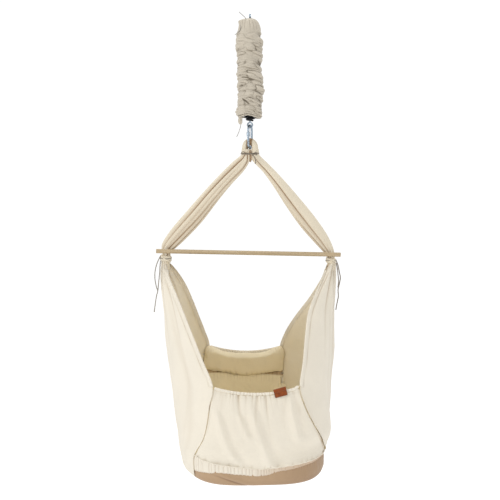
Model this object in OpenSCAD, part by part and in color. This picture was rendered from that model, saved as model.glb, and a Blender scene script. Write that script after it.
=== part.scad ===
// Spring baby hammock: a hanging eye, a covered extension spring, a screw-gate carabiner, a cotton sling
// spread by a wooden bar, and a boat-shaped cradle with a mattress. Millimetres, +Z up, the foot end
// towards -Y. The origin is the centre of the hanging eye's bore.

/* [Spring and hanging eye] */
// Bore radius of the hanging eye
eye_bore_r = 5.5; // [4:0.25:8]
// Outside radius of the hanging eye's ring
eye_ring_r = 9.5; // [8:0.25:13]
// Thickness of the hanging eye's ring along its bore
eye_ring_t = 5; // [4:0.5:8]
// Radius of both eye bolts' shanks
shank_r = 3; // [2.5:0.25:4]
// Height of the spring's top end
spring_top_z = -22; // [-30:1:-18]
// Height of the spring's bottom end
spring_bottom_z = -335; // [-420:1:-250]
// Mean radius of the spring's coils
coil_r = 22; // [18:0.5:28]
// Radius of the spring wire
coil_wire_r = 3.1; // [2:0.1:4]
// Number of turns, closed at rest
coil_turns = 44; // [30:1:60]

/* [Spring cover] */
// Outside radius of the gathered cotton sleeve
cover_r = 41; // [34:0.5:50]
// Height of the sleeve's bottom hem
cover_bottom_z = -320; // [-330:1:-300]
// Depth of one ruffle
ruffle = 1.6; // [0:0.1:3]
// Number of ruffles down the sleeve
ruffle_count = 19; // [8:1:30]

/* [Carabiner] */
// Radius of the carabiner's wire
wire_r = 3.75; // [3:0.25:5]
// Radius of the carabiner's end bows, to the wire's centre
bow_r = 16.25; // [14:0.25:20]
// Height of the top bow's centre
bow_top_z = -364.2; // [-370:0.1:-360]
// Length of the carabiner's straight sides
side_len = 40; // [30:1:60]
// How far the carabiner is turned about the vertical
carabiner_turn = -23; // [-90:1:90]

/* [Spreader bar] */
// Left end of the bar
bar_left = [-305, -20, -752.5];
// Right end of the bar
bar_right = [295, -20, -767];
// Radius of the bar
bar_r = 7; // [6:0.5:12]
// Radius of the hole for the tie cord near each end
bar_hole_r = 2.2; // [1.5:0.1:4]

/* [Sling] */
// Centre of the left knot
knot_left = [-273, 0, -778];
// Centre of the right knot
knot_right = [266, 0, -786];
// Radius of the gathered cloth inside a knot
neck_r = 11.8; // [9:0.1:16]
// Radius of the tie cord
tie_r = 2.1; // [1:0.1:3]
// Half of the cloth loop's width along the carabiner
loop_half = 8; // [5:0.5:10]

/* [Cradle] */
// Thickness of the padded cotton panels
cloth_t = 3; // [2:0.5:5]
// Half of the mattress base's width
base_a = 221.5; // [180:0.5:260]
// Half of the mattress base's length
base_b = 376; // [320:1:420]
// Height of the base's underside
base_bottom_z = -1416; // [-1430:1:-1400]
// Height of the base's upper edge
base_top_z = -1367.5; // [-1380:0.5:-1350]
// Width of the leather tab
label_w = 38; // [20:1:60]
// Length of the leather tab's front face
label_h = 24; // [15:1:40]

/* [Hidden] */
$fn = 48;
round_fn = 64;
cream = [0.93, 0.89, 0.8];
inner_beige = [0.8, 0.72, 0.57];
cover_grey = [0.78, 0.74, 0.66];
tan = [0.74, 0.6, 0.48];
pale_wood = [0.78, 0.68, 0.5];
zinc = [0.72, 0.76, 0.8];
dark_steel = [0.2, 0.2, 0.21];
brown_leather = [0.62, 0.3, 0.14];
cord_cream = [0.88, 0.84, 0.75];
gap = 0.3;

// Eye bolts, plugs and nuts
shank_gap = 0.05;
shank_tip = 2;
plug_len = 15;
plug_small_r = 5.2;
plug_big_r = 11;
nut_r = 6;
nut_h = 6;
upper_plug_top = spring_top_z - 2;
upper_nut_top = upper_plug_top - plug_len - gap;
lower_plug_bottom = spring_bottom_z + 2;
lower_nut_bottom = lower_plug_bottom + plug_len + gap;
low_eye_z = -346.35;
low_eye_bore_r = 6;
low_eye_ring_r = 10;
low_eye_t = 6;

// Carabiner
bow_bottom_z = bow_top_z - side_len;
bow_wire_z = bow_bottom_z - bow_r;
gate_top = bow_top_z - 2.2;
gate_pivot_z = bow_bottom_z + 2.2;
fork_top = gate_pivot_z + 1.8;
gate_bottom = gate_pivot_z + 3.8;
rivet_r = 1.25;
tongue_t = 3;
slot_t = 3.4;
tongue_r = 3;
sleeve_bore_r = 4.1;
sleeve_r = 5.6;
sleeve_len = 13;
sleeve_bottom = -383;

// Sling
loop_in_r = 7.1;
loop_out_r = 27;
loop_rise = 1.2;
leg_len = 12;
// Each turn of the neck tie runs round both arms: two half circles and the straights between them
neck_tie_z = -438;
neck_tie_pitch = 4.4;
neck_tie_turns = 2;
neck_tie_r = 14.6;
arm_centre_x = 12.9;
// Gap between the gathered cloth and the cord that is wound on it
wrap_gap = 0.7;
lashing_r = 1.6;
// Stations of each arm: x, z, half width across the arm, half depth front to back
left_arm_stations = [[-12.6, -434.8, 11, 11], [-13.2, -447, 11.6, 11.5], [-23, -461, 16, 13.5],
    [-45, -483, 20, 15], [-84, -522, 24, 16], [-136, -575, 28, 17], [-191, -640, 33, 18],
    [-236, -697, 30, 16], [-265, -737, 20, 13], [-272, -758, 13, 12],
    [-273, -766, neck_r, neck_r], [-273, -778, neck_r, neck_r], [-273, -793.8, neck_r, neck_r]];
right_arm_stations = [[12.6, -434.8, 11, 11], [13.2, -447, 11.6, 11.5], [24, -461, 16, 13.5],
    [50, -487, 22, 15], [90, -533, 25, 16], [136, -590, 27, 17], [188, -656, 29, 18], [230, -711, 25, 16],
    [254, -747, 18, 13], [264, -768, 13, 12], [266, -777, neck_r, neck_r], [266, -786, neck_r, neck_r],
    [266, -797.8, neck_r, neck_r]];

// Side panels, top to bottom: front edge point, back edge point, middle point, bow exponent, thickness there
left_rows = [
    [[-276, -12, -794.6], [-264, 12, -794.6], [-288, 0, -794.6], 2, 23],
    [[-266, -46, -832], [-233, 46, -832], [-291, 0, -838], 2, 14],
    [[-243, -92, -878], [-210, 92, -878], [-288, 0, -890], 2, 7],
    [[-217, -148, -934], [-189, 148, -934], [-279.5, 0, -955], 2, 3],
    [[-188, -212, -998], [-168, 212, -998], [-275.5, 0, -1030], 2, 3],
    [[-159, -277, -1062], [-147, 277, -1062], [-267, 0, -1100], 2, 3],
    [[-130, -342, -1128], [-130, 342, -1126], [-258, 0, -1165], 2.2, 3],
    [[-140, -345, -1186], [-142, 345, -1184], [-249.5, 0, -1225], 2.4, 3],
    [[-149, -340, -1246], [-152, 340, -1240], [-243.5, 0, -1280], 2.7, 3],
    [[-161, -328, -1292], [-163, 328, -1290], [-238.5, 0, -1325], 3, 3],
    [[-185, -303, -1342], [-185, 303, -1342], [-234, 0, -1367], 3.4, 3],
    [[-193, -301, -1374], [-193, 301, -1374], [-229, 0, -1400], 3.5, 3]];
right_rows = [
    [[262, -12, -798.6], [258, 12, -798.6], [281, 0, -798.6], 2, 23],
    [[236, -46, -836], [249, 46, -836], [281.5, 0, -842], 2, 14],
    [[207, -92, -881], [234, 92, -881], [280, 0, -894], 2, 7],
    [[177, -148, -936], [209, 148, -936], [278, 0, -955], 2, 3],
    [[160, -212, -1000], [174, 212, -1000], [277, 0, -1030], 2, 3],
    [[147, -277, -1064], [146, 277, -1064], [275, 0, -1100], 2, 3],
    [[130, -342, -1130], [130, 342, -1133], [268, 0, -1165], 2.2, 3],
    [[145, -343.5, -1185], [132, 345, -1187], [264.5, 0, -1225], 2.4, 3],
    [[169, -338, -1235], [135, 341, -1238], [259, 0, -1280], 2.7, 3],
    [[197, -321, -1285], [152, 330, -1286], [249, 0, -1325], 3, 3],
    [[217, -246, -1335], [202, 290, -1340], [238, 0, -1366], 3.4, 3],
    [[224, -238, -1362], [220, 243, -1366], [233.5, 0, -1402], 3.5, 3]];
// End panels, top to bottom: left edge point, right edge point, how far the middle bulges, how far it sags
foot_rows = [
    [[-126.5, -342, -1137.5], [126.5, -342, -1139], 6, 20],
    [[-136, -345, -1186], [141, -343.5, -1187], 13, 20],
    [[-145, -340, -1246], [165, -338, -1238], 27, 20],
    [[-157, -328, -1292], [192, -321, -1286], 49, 17],
    [[-171, -314, -1320], [211, -254, -1330], 85, 14],
    [[-181, -303.5, -1340], [213, -241, -1364], 80, 11]];
head_rows = [
    [[-126.5, -342, -1135.5], [126.5, -342, -1141], 6, 20],
    [[-138, -345, -1184], [127.5, -345, -1187], 10, 20],
    [[-147, -340, -1240], [129, -341, -1238], 22, 20],
    [[-158, -328, -1290], [144, -330, -1286], 42, 17],
    [[-171, -314, -1320], [186, -302, -1322], 72, 14],
    [[-181, -303.5, -1340], [205, -262, -1362], 80, 11]];
// From this row down an end panel bends to the base's outline
end_bend_row = 3;
edge_gap = 1.8;
bumper_rows = [0.05, 1.6];
liner_rows = [1.68, 3.9];
bumper_t = 28;
liner_t = 17;
pad_edge_t = 4;
pad_gap = 2.8;

// Base
base_x = 5;
base_round = 3.5;
base_points = 44;
cover_wall = 2.5;
band_gap = 0.8;
band_t = 2.7;
band_top = base_top_z - 0.5;
band_bottom = -1394;
liner_z = -1366.6;

// Leather tab
label_x = 67.5;
label_top_z = -1134;
label_tilt = -11;
label_t = 1.6;
label_gap = 10;
label_y = -345.6;
label_back_cut = 7;

// Free cords: routes from the fixed end to the free end
cord_r = 1.3;
thin_cord_r = 1;
left_long_route = [[-291, -8, -769], [-297, -11, -780], [-304, -12, -797], [-309, -12, -818],
    [-310, -12, -838], [-308, -12, -857], [-304, -12, -874], [-301, -12, -883], [-304, -12, -895],
    [-307, -12, -910], [-310, -12, -930], [-313, -12, -952]];
left_short_route = [[-291, -9, -785], [-293, -14, -800], [-294, -17, -820], [-296, -18, -840],
    [-298, -18, -858], [-300, -18, -880]];
right_long_route = [[283, -9, -788], [287, -22, -803], [290, -32, -824], [293, -34, -841],
    [290, -34, -860], [286, -34, -878], [286, -34, -890], [287, -34, -901], [284, -34, -918],
    [281, -34, -933], [279, -34, -946]];
right_short_route = [[282, -11, -795], [284, -26, -812], [285, -36, -832], [286, -41, -852],
    [284, -42, -872]];
top_tail_route = [[-13, -17, -12], [-18, -19, -6], [-24, -21, -1], [-30, -23, 4], [-36, -25, 9]];
side_tail_route = [[-28, -14, -22], [-31, -18, -31], [-31, -24, -40], [-35, -25, -50], [-42, -24, -57],
    [-49, -22, -62]];
bottom_tail_route = [[-31, -16, -346], [-32, -17, -354], [-35, -18, -364], [-39, -18, -375],
    [-44, -18, -385]];
neck_tail_route = [[4, -18.5, -438], [9, -20.5, -444], [14, -22, -452], [17, -22, -462], [16, -22, -472]];

function mix(a, b, t) = a + (b - a) * t;
function flat(lists) = [for (l = lists) each l];
function unit(v) = v / norm(v);
function tangent(path, i) =
    unit(path[min(i + 1, len(path) - 1)] - path[max(i - 1, 0)]);
function ring_at(c, t, ref, a, b, n) =
    let (u = unit(cross(t, ref)), w = cross(t, u))
    [for (k = [0:n - 1]) c + u * a * cos(360 * k / n) + w * b * sin(360 * k / n)];
function oval(a, b, power, z, n) = [for (k = [0:n - 1])
    let (c = cos(360 * k / n), s = sin(360 * k / n))
    [base_x + a * sign(c) * pow(abs(c), 2 / power), b * sign(s) * pow(abs(s), 2 / power), z]];
// Catmull-Rom points along a route
function curve_point(p0, p1, p2, p3, t) = 0.5 * ((2 * p1) + (p2 - p0) * t
    + (2 * p0 - 5 * p1 + 4 * p2 - p3) * t * t + (3 * p1 - p0 - 3 * p2 + p3) * t * t * t);
function smooth(path, steps) = concat([for (i = [0:len(path) - 2]) for (k = [0:steps - 1])
    curve_point(path[max(i - 1, 0)], path[i], path[i + 1], path[min(i + 2, len(path) - 1)], k / steps)],
    [path[len(path) - 1]]);

// A solid through a list of rings that all have the same number of points
module skin(rings) {
    n = len(rings[0]);
    m = len(rings);
    sides = [for (i = [0:m - 2]) for (j = [0:n - 1])
        let (a = i * n + j, b = i * n + (j + 1) % n, c = (i + 1) * n + (j + 1) % n, d = (i + 1) * n + j)
        each [[a, d, c], [a, c, b]]];
    caps = [[for (j = [0:n - 1]) j], [for (j = [n - 1:-1:0]) (m - 1) * n + j]];
    polyhedron(points = flat(rings), faces = concat(sides, caps), convexity = 6);
}

// A closed ring of rings, such as a turn of cord
module skin_loop(rings) {
    n = len(rings[0]);
    m = len(rings);
    sides = [for (i = [0:m - 1]) for (j = [0:n - 1])
        let (k = (i + 1) % m, a = i * n + j, b = i * n + (j + 1) % n, c = k * n + (j + 1) % n, d = k * n + j)
        each [[a, d, c], [a, c, b]]];
    polyhedron(points = flat(rings), faces = sides, convexity = 6);
}

// A sheet with thickness, from two grids of points; flip turns its faces the other way out
module sheet_solid(outer, inner, flip) {
    m = len(outer);
    n = len(outer[0]);
    q = m * n;
    skin_a = [for (i = [0:m - 2]) for (j = [0:n - 2])
        let (a = i * n + j, b = a + 1, c = a + n + 1, d = a + n)
        each [[a, d, c], [a, c, b]]];
    skin_b = [for (f = skin_a) [f[2] + q, f[1] + q, f[0] + q]];
    top_rim = [for (j = [0:n - 2]) each [[j, j + 1, j + 1 + q], [j, j + 1 + q, j + q]]];
    low = (m - 1) * n;
    low_rim = [for (j = [0:n - 2]) let (a = low + j, b = a + 1) each [[b, a, a + q], [b, a + q, b + q]]];
    left_rim = [for (i = [0:m - 2]) let (a = i * n, d = a + n)
        each [[d, a, a + q], [d, a + q, d + q]]];
    right_rim = [for (i = [0:m - 2]) let (a = i * n + n - 1, d = a + n)
        each [[a, d, d + q], [a, d + q, a + q]]];
    faces = concat(skin_a, skin_b, top_rim, low_rim, left_rim, right_rim);
    turned = flip ? [for (f = faces) [f[2], f[1], f[0]]] : faces;
    polyhedron(points = concat(flat(outer), flat(inner)), faces = turned, convexity = 6);
}

module cord(route, r, steps) {
    path = smooth(route, steps);
    skin([for (i = [0:len(path) - 1]) ring_at(path[i], tangent(path, i), [0, 1, 0], r, r, 8)]);
}

module ring_eye(bore_r, ring_r, t) {
    difference() {
        cylinder(r = ring_r, h = t, center = true, $fn = round_fn);
        cylinder(r = bore_r, h = t + 2, center = true, $fn = round_fn);
    }
}

module hex_nut() {
    difference() {
        cylinder(r = nut_r, h = nut_h, $fn = 6);
        translate([0, 0, -1]) cylinder(r = shank_r, h = nut_h + 2);
    }
}

module cone_plug() {
    difference() {
        cylinder(r1 = plug_small_r, r2 = plug_big_r, h = plug_len);
        translate([0, 0, -1]) cylinder(r = shank_r + shank_gap, h = plug_len + 2);
    }
}

// An eye bolt's shank, from the tip that stands past its nut to the ring
module shank(low, high) {
    translate([0, 0, low]) cylinder(r = shank_r - shank_gap, h = high - low);
}

module hanging_eye() {
    color(zinc) union() {
        rotate([0, 90, 0]) ring_eye(eye_bore_r, eye_ring_r, eye_ring_t);
        shank(upper_nut_top - nut_h - shank_tip, -eye_bore_r - 1);
    }
}

module upper_lock_nut() {
    color(zinc) translate([0, 0, upper_nut_top - nut_h]) hex_nut();
}

module upper_cone_plug() {
    color(dark_steel) translate([0, 0, upper_plug_top]) mirror([0, 0, 1]) cone_plug();
}

module lower_cone_plug() {
    color(dark_steel) translate([0, 0, lower_plug_bottom]) cone_plug();
}

module lower_eye() {
    color(zinc) union() {
        rotate([0, 0, carabiner_turn]) translate([0, 0, low_eye_z]) rotate([90, 0, 0])
            ring_eye(low_eye_bore_r, low_eye_ring_r, low_eye_t);
        shank(low_eye_z + low_eye_bore_r + 1, lower_nut_bottom + nut_h + shank_tip);
    }
}

module lower_lock_nut() {
    color(zinc) translate([0, 0, lower_nut_bottom]) hex_nut();
}

// One wire wound in closed coils, with a cone at each end that closes on the plug
module spring() {
    end_r = 9;
    cone_turns = 4;
    per_turn = 12;
    steps = coil_turns * per_turn;
    rise = (spring_top_z - spring_bottom_z - 2 * coil_wire_r) / steps;
    low = spring_bottom_z + coil_wire_r;
    path = [for (k = [0:steps])
        let (turn = k / per_turn, from_end = min(turn, coil_turns - turn),
            r = from_end < cone_turns ? mix(end_r, coil_r, from_end / cone_turns) : coil_r)
        [r * cos(360 * turn), r * sin(360 * turn), low + k * rise]];
    color(dark_steel) skin([for (i = [0:len(path) - 1])
        ring_at(path[i], tangent(path, i), [0, 0, 1], coil_wire_r, coil_wire_r, 5)]);
}

// Cotton sleeve over the spring, gathered at the top and ruffled down its length
module spring_cover() {
    wall = 2;
    shoulder_z = -62;
    steps = 2 * ruffle_count;
    crown = [[8.5, -10.5], [19, -13], [27, -19], [33, -30], [37, -44]];
    body_end_z = cover_bottom_z + 7;
    body = [for (k = [0:steps])
        [cover_r - ruffle + (k % 2) * ruffle, mix(shoulder_z, body_end_z, k / steps)]];
    outer = concat(crown, body, [[cover_r - 3, cover_bottom_z]]);
    inner = [for (k = [len(outer) - 1:-1:0])
        [outer[k][0] - wall, outer[k][1] - (k < len(crown) ? wall : 0)]];
    color(cover_grey) rotate_extrude($fn = round_fn) polygon(concat(outer, inner));
}

// Drawstring round the opening in the sleeve's crown
module cover_top_tie() {
    ring_r = 10.4;
    ring_z = -9.2;
    color(cord_cream) translate([0, 0, ring_z])
        rotate_extrude() translate([ring_r, 0]) circle(r = thin_cord_r, $fn = 16);
}

// Turned-up hem with the bottom drawstring in it
module cover_bottom_hem() {
    hem_r = 2.4;
    ring_r = cover_r - 5;
    color(cover_grey) translate([0, 0, cover_bottom_z - hem_r - gap])
        rotate_extrude($fn = round_fn) translate([ring_r, 0]) circle(r = hem_r, $fn = 20);
}

// Loose end of the sleeve's cloth at the bottom hem
module cover_tongue() {
    place = [-31, -16];
    sections = [[-326, 7, 5], [-334, 7.5, 5], [-341, 5, 4], [-344.5, 2.5, 2.5]];
    color(cover_grey) skin([for (c = sections)
        ring_at([place[0], place[1], c[0]], [0, 0, -1], [0, 1, 0], c[1], c[2], 10)]);
}

module cover_top_tail() {
    color(cord_cream) cord(top_tail_route, thin_cord_r, 2);
}

module cover_side_tail() {
    color(cord_cream) cord(side_tail_route, thin_cord_r, 2);
}

module cover_bottom_tail() {
    color(cord_cream) cord(bottom_tail_route, thin_cord_r, 2);
}

// Places its children in the carabiner's own plane: its gate side is -Y, its wire runs along Y at both bows
module carabiner_frame() {
    rotate([0, 0, carabiner_turn]) children();
}

module bow() {
    rotate([90, 0, 90]) rotate_extrude(angle = 180, $fn = round_fn)
        translate([bow_r, 0]) circle(r = wire_r, $fn = 32);
}

// A straight piece of the carabiner's wire at y, from low to high
module wire(y, low, high) {
    translate([0, y, low]) cylinder(r = wire_r, h = high - low, $fn = 32);
}

// A pin of radius r and length len on the gate's pivot
module pivot_pin(r, len) {
    translate([-len / 2, -bow_r, gate_pivot_z]) rotate([0, 90, 0]) cylinder(r = r, h = len, $fn = 24);
}

module carabiner_body() {
    overlap = 0.01;
    nose_len = 1.8;
    slot_len = 12;
    color(zinc) carabiner_frame() difference() {
        union() {
            translate([0, 0, bow_top_z]) bow();
            translate([0, 0, bow_bottom_z]) mirror([0, 0, 1]) bow();
            wire(bow_r, bow_bottom_z - overlap, bow_top_z + overlap);
            wire(-bow_r, bow_top_z - nose_len, bow_top_z + overlap);
            wire(-bow_r, bow_bottom_z - overlap, fork_top);
        }
        translate([-slot_t / 2, -bow_r - slot_len / 2, gate_pivot_z - tongue_r - 0.5])
            cube([slot_t, slot_len, slot_len]);
        pivot_pin(rivet_r, 2 * wire_r + 2);
    }
}

module carabiner_gate() {
    color(zinc) carabiner_frame() difference() {
        union() {
            wire(-bow_r, gate_bottom, gate_top);
            pivot_pin(tongue_r, tongue_t);
            translate([-tongue_t / 2, -bow_r - tongue_r, gate_pivot_z])
                cube([tongue_t, 2 * tongue_r, gate_bottom - gate_pivot_z + 0.5]);
        }
        pivot_pin(rivet_r + shank_gap, 2 * wire_r);
    }
}

module gate_rivet() {
    color(zinc) carabiner_frame() pivot_pin(rivet_r, 2 * wire_r + 0.6);
}

// Knurled sleeve that screws up over the gate's tip to lock it
module lock_sleeve() {
    flutes = 12;
    flute_r = 0.9;
    flute_margin = 2;
    color(zinc) carabiner_frame() translate([0, -bow_r, sleeve_bottom]) difference() {
        cylinder(r = sleeve_r, h = sleeve_len, $fn = 32);
        translate([0, 0, -1]) cylinder(r = sleeve_bore_r, h = sleeve_len + 2, $fn = 32);
        for (k = [0:flutes - 1])
            rotate([0, 0, 360 * k / flutes]) translate([sleeve_r + 0.5, 0, flute_margin])
                cylinder(r = flute_r, h = sleeve_len - 2 * flute_margin, $fn = 16);
    }
}

// Gathered cloth that hangs over the carabiner's lower bow
module fabric_loop() {
    mid_r = (loop_in_r + loop_out_r) / 2;
    cloth = loop_out_r - loop_in_r;
    overlap = 0.1;
    color(cream) carabiner_frame() translate([0, 0, bow_wire_z]) union() {
        scale([1, 1, loop_rise]) rotate([90, 0, 0]) rotate_extrude(angle = 180, $fn = round_fn)
            translate([mid_r, 0]) square([cloth, 2 * loop_half], center = true);
        for (side = [-1, 1])
            translate([side * mid_r, 0, overlap - leg_len / 2])
                cube([cloth, 2 * loop_half, leg_len + 2 * overlap], center = true);
    }
}

// Cord round the neck where the two arms leave the loop
module neck_tie() {
    steps = 28;
    path = [for (i = [0:steps - 1]) let (c = cos(360 * i / steps), s = sin(360 * i / steps))
        [neck_tie_r * c + (abs(c) < 0.01 ? 0 : arm_centre_x * sign(c)), neck_tie_r * s, 0]];
    turn = [for (i = [0:steps - 1]) let (along = unit(path[(i + 1) % steps] - path[(i + steps - 1) % steps]))
        ring_at(path[i], along, [0, 0, 1], tie_r, tie_r, 6)];
    color(cord_cream) for (k = [0:neck_tie_turns - 1])
        translate([0, 0, neck_tie_z - k * neck_tie_pitch]) skin_loop(turn);
}

module neck_tail() {
    color(cord_cream) cord(neck_tail_route, cord_r, 2);
}

module arm(stations) {
    path = [for (s = stations) [s[0], 0, s[1]]];
    color(cream) skin([for (i = [0:len(path) - 1])
        ring_at(path[i], tangent(path, i), [0, 1, 0], stations[i][2], stations[i][3], 16)]);
}

module left_arm() {
    arm(left_arm_stations);
}

module right_arm() {
    arm(right_arm_stations);
}

// Turned wooden bar with a hole near each end for the tie cord
module spreader_bar() {
    run = bar_right - bar_left;
    tilt = atan2(run[2], run[0]);
    color(pale_wood) difference() {
        translate(bar_left) rotate([0, 90 - tilt, 0]) cylinder(r = bar_r, h = norm(run), $fn = round_fn);
        for (k = [knot_left, knot_right])
            translate([k[0], bar_left[1], -790]) cylinder(r = bar_hole_r, h = 60);
    }
}

// Cord that comes up through the bar and holds it against the cloth
module bar_lashing(k) {
    top = mix(bar_left[2], bar_right[2], (k[0] - bar_left[0]) / (bar_right[0] - bar_left[0])) + bar_r;
    path = [[k[0], -19, k[2] + 11], [k[0], -20, top - 11], [k[0], -20, top - 4], [k[0], -20, top + 1.5],
        [k[0], -18, top + 4], [k[0], -15, top + 5]];
    color(cord_cream) skin([for (i = [0:len(path) - 1])
        ring_at(path[i], tangent(path, i), [1, 0, 0], lashing_r, lashing_r, 8)]);
}

module left_bar_lashing() {
    bar_lashing(knot_left);
}

module right_bar_lashing() {
    bar_lashing(knot_right);
}

// Turns of tie cord round the gathered cloth under the bar
module knot(k, turns) {
    pitch = 2.1 * tie_r;
    wrap_r = neck_r + wrap_gap + tie_r;
    color(cord_cream) for (i = [0:turns - 1])
        translate([k[0], k[1], k[2] + (i - (turns - 1) / 2) * pitch])
            rotate_extrude(convexity = 4) translate([wrap_r, 0]) circle(r = tie_r, $fn = 16);
}

module left_knot() {
    knot(knot_left, 6);
}

module right_knot() {
    knot(knot_right, 4);
}

module left_tie_long() {
    color(cord_cream) cord(left_long_route, cord_r, 2);
}

module left_tie_short() {
    color(cord_cream) cord(left_short_route, cord_r, 2);
}

module right_tie_long() {
    color(cord_cream) cord(right_long_route, cord_r, 2);
}

module right_tie_short() {
    color(cord_cream) cord(right_short_route, cord_r, 2);
}

// Side panel, bowed outwards; inward is +1 or -1 along X
side_columns = 6;
side_edge_t = 2.5;
function side_row(row, depth, inward) = [for (j = [-side_columns:side_columns])
    let (u = abs(j) / side_columns, f = j < 0 ? row[0] : row[1], m = row[2],
        t = depth * mix(side_edge_t, row[4], 1 - u * u))
    [mix(m[0], f[0], pow(u, row[3])) + inward * t, f[1] * u, mix(m[2], f[2], u * u)]];

module side_panel(rows, inward, flip) {
    outer = [for (r = rows) side_row(r, 0, inward)];
    inner = [for (r = rows) side_row(r, 1, inward)];
    color(cream) sheet_solid(outer, inner, flip);
}

module left_panel() {
    side_panel(left_rows, 1, false);
}

module right_panel() {
    side_panel(right_rows, -1, true);
}

// A point of an end panel: t counts the rows from the top, s runs from -1 at the left to 1 at the right
end_columns = 12;
function base_edge_y(x) =
    let (a = base_a + edge_gap, b = base_b + edge_gap)
    -b * pow(1 - pow(abs(x - base_x) / a, base_round), 1 / base_round);
function end_point(rows, t, s) =
    let (i = min(floor(t), len(rows) - 2), p = mix(rows[i], rows[i + 1], t - i),
        c = mix(p[0], p[1], (s + 1) / 2), y = c[1] - p[2] * (1 - pow(abs(s), 2.6)),
        bend = max(0, t - end_bend_row) / (len(rows) - 1 - end_bend_row))
    [c[0], mix(y, base_edge_y(c[0]), bend), c[2] - p[3] * (1 - s * s)];
function end_grid(rows, ts, reach, depth) = [for (t = ts)
    [for (j = [0:end_columns]) end_point(rows, t, reach * (2 * j / end_columns - 1)) + [0, depth, 0]]];

module end_panel(rows) {
    ts = [for (i = [0:2 * (len(rows) - 1)]) i / 2];
    sheet_solid(end_grid(rows, ts, 1, 0), end_grid(rows, ts, 1, cloth_t), true);
}

module front_panel() {
    color(cream) end_panel(foot_rows);
}

module back_panel() {
    color(cream) mirror([0, 1, 0]) end_panel(head_rows);
}

// Casing for the elastic along an end panel's upper edge
module end_hem(rows) {
    half_h = 4.2;
    half_t = 3.2;
    path = [for (j = [0:12]) end_point(rows, 0, 0.98 * (j / 6 - 1)) + [0, cloth_t / 2, half_h + 0.7]];
    skin([for (i = [0:len(path) - 1]) ring_at(path[i], tangent(path, i), [0, 0, 1], half_t, half_h, 10)]);
}

module front_hem() {
    color(cream) end_hem(foot_rows);
}

module back_hem() {
    color(inner_beige) mirror([0, 1, 0]) end_hem(head_rows);
}

// Padding on the inside of the head-end panel between two of its rows
module end_pad(rows, thick, reach) {
    steps = 6;
    ts = [for (i = [0:steps]) mix(rows[0], rows[1], i / steps)];
    back = end_grid(head_rows, ts, reach, cloth_t + pad_gap);
    face = [for (i = [0:steps]) [for (j = [0:end_columns])
        let (crown = pow(max(sin(180 * i / steps), 0), 0.6) * (1 - pow(abs(2 * j / end_columns - 1), 6)))
        back[i][j] + [0, mix(pad_edge_t, thick - pad_gap, crown), 0]]];
    mirror([0, 1, 0]) sheet_solid(back, face, true);
}

module head_bumper() {
    color(inner_beige) end_pad(bumper_rows, bumper_t, 0.93);
}

module head_liner() {
    color(inner_beige) end_pad(liner_rows, liner_t, 0.9);
}

// Rounded slab: plan a by b, from low to high, with its lower edge rolled under
module slab(a, b, low, high) {
    // how far in and how high each ring of the rolled edge lies
    roll = [[16, 0], [6, 3], [0, 11], [0, high - low]];
    skin([for (k = roll) oval(a - k[0], b - k[0], base_round, low + k[1], base_points)]);
}

module base_cover() {
    color(tan) difference() {
        slab(base_a, base_b, base_bottom_z, base_top_z);
        slab(base_a - cover_wall, base_b - cover_wall, base_bottom_z + cover_wall, base_top_z + 5);
    }
}

module base_gather_band() {
    in_a = base_a + band_gap;
    in_b = base_b + band_gap;
    color(cream) difference() {
        skin([oval(in_a + band_t, in_b + band_t, base_round, band_bottom, base_points),
            oval(in_a + band_t, in_b + band_t, base_round, band_top, base_points)]);
        skin([oval(in_a, in_b, base_round, band_bottom - 1, base_points),
            oval(in_a, in_b, base_round, band_top + 1, base_points)]);
    }
}

module mattress_core() {
    inset = cover_wall + 0.5;
    color(cream) slab(base_a - inset, base_b - inset, base_bottom_z + inset, base_top_z - 0.5);
}

module floor_liner() {
    inset = 9;
    color(inner_beige) skin([for (z = [liner_z, liner_z + cloth_t])
        oval(base_a - inset, base_b - inset, base_round, z, base_points)]);
}

// Blank leather tab folded over the front hem
module leather_label() {
    color(brown_leather) translate([label_x, label_y, label_top_z]) rotate([0, label_tilt, 0])
        translate([-label_w / 2, 0, 0]) rotate([90, 0, 90]) linear_extrude(label_w) difference() {
            translate([-label_gap / 2 - label_t, -label_h]) square([label_gap + 2 * label_t, label_h]);
            translate([-label_gap / 2, -label_h - 1]) square([label_gap, label_h + 1 - label_t]);
            translate([label_gap / 2 - 1, -label_h - 1]) square([label_t + 2, label_back_cut + 1]);
        }
}

hanging_eye();
upper_lock_nut();
upper_cone_plug();
spring();
lower_cone_plug();
lower_eye();
lower_lock_nut();
spring_cover();
cover_top_tie();
cover_bottom_hem();
cover_tongue();
cover_top_tail();
cover_side_tail();
cover_bottom_tail();
carabiner_body();
carabiner_gate();
gate_rivet();
lock_sleeve();
fabric_loop();
neck_tie();
neck_tail();
left_arm();
right_arm();
spreader_bar();
left_bar_lashing();
right_bar_lashing();
left_knot();
right_knot();
left_tie_long();
left_tie_short();
right_tie_long();
right_tie_short();
left_panel();
right_panel();
front_panel();
back_panel();
front_hem();
back_hem();
head_bumper();
head_liner();
base_cover();
base_gather_band();
mattress_core();
floor_liner();
leather_label();
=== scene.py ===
import math

import bmesh
import bpy
import numpy as np
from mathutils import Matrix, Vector
from mathutils.bvhtree import BVHTree


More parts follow.
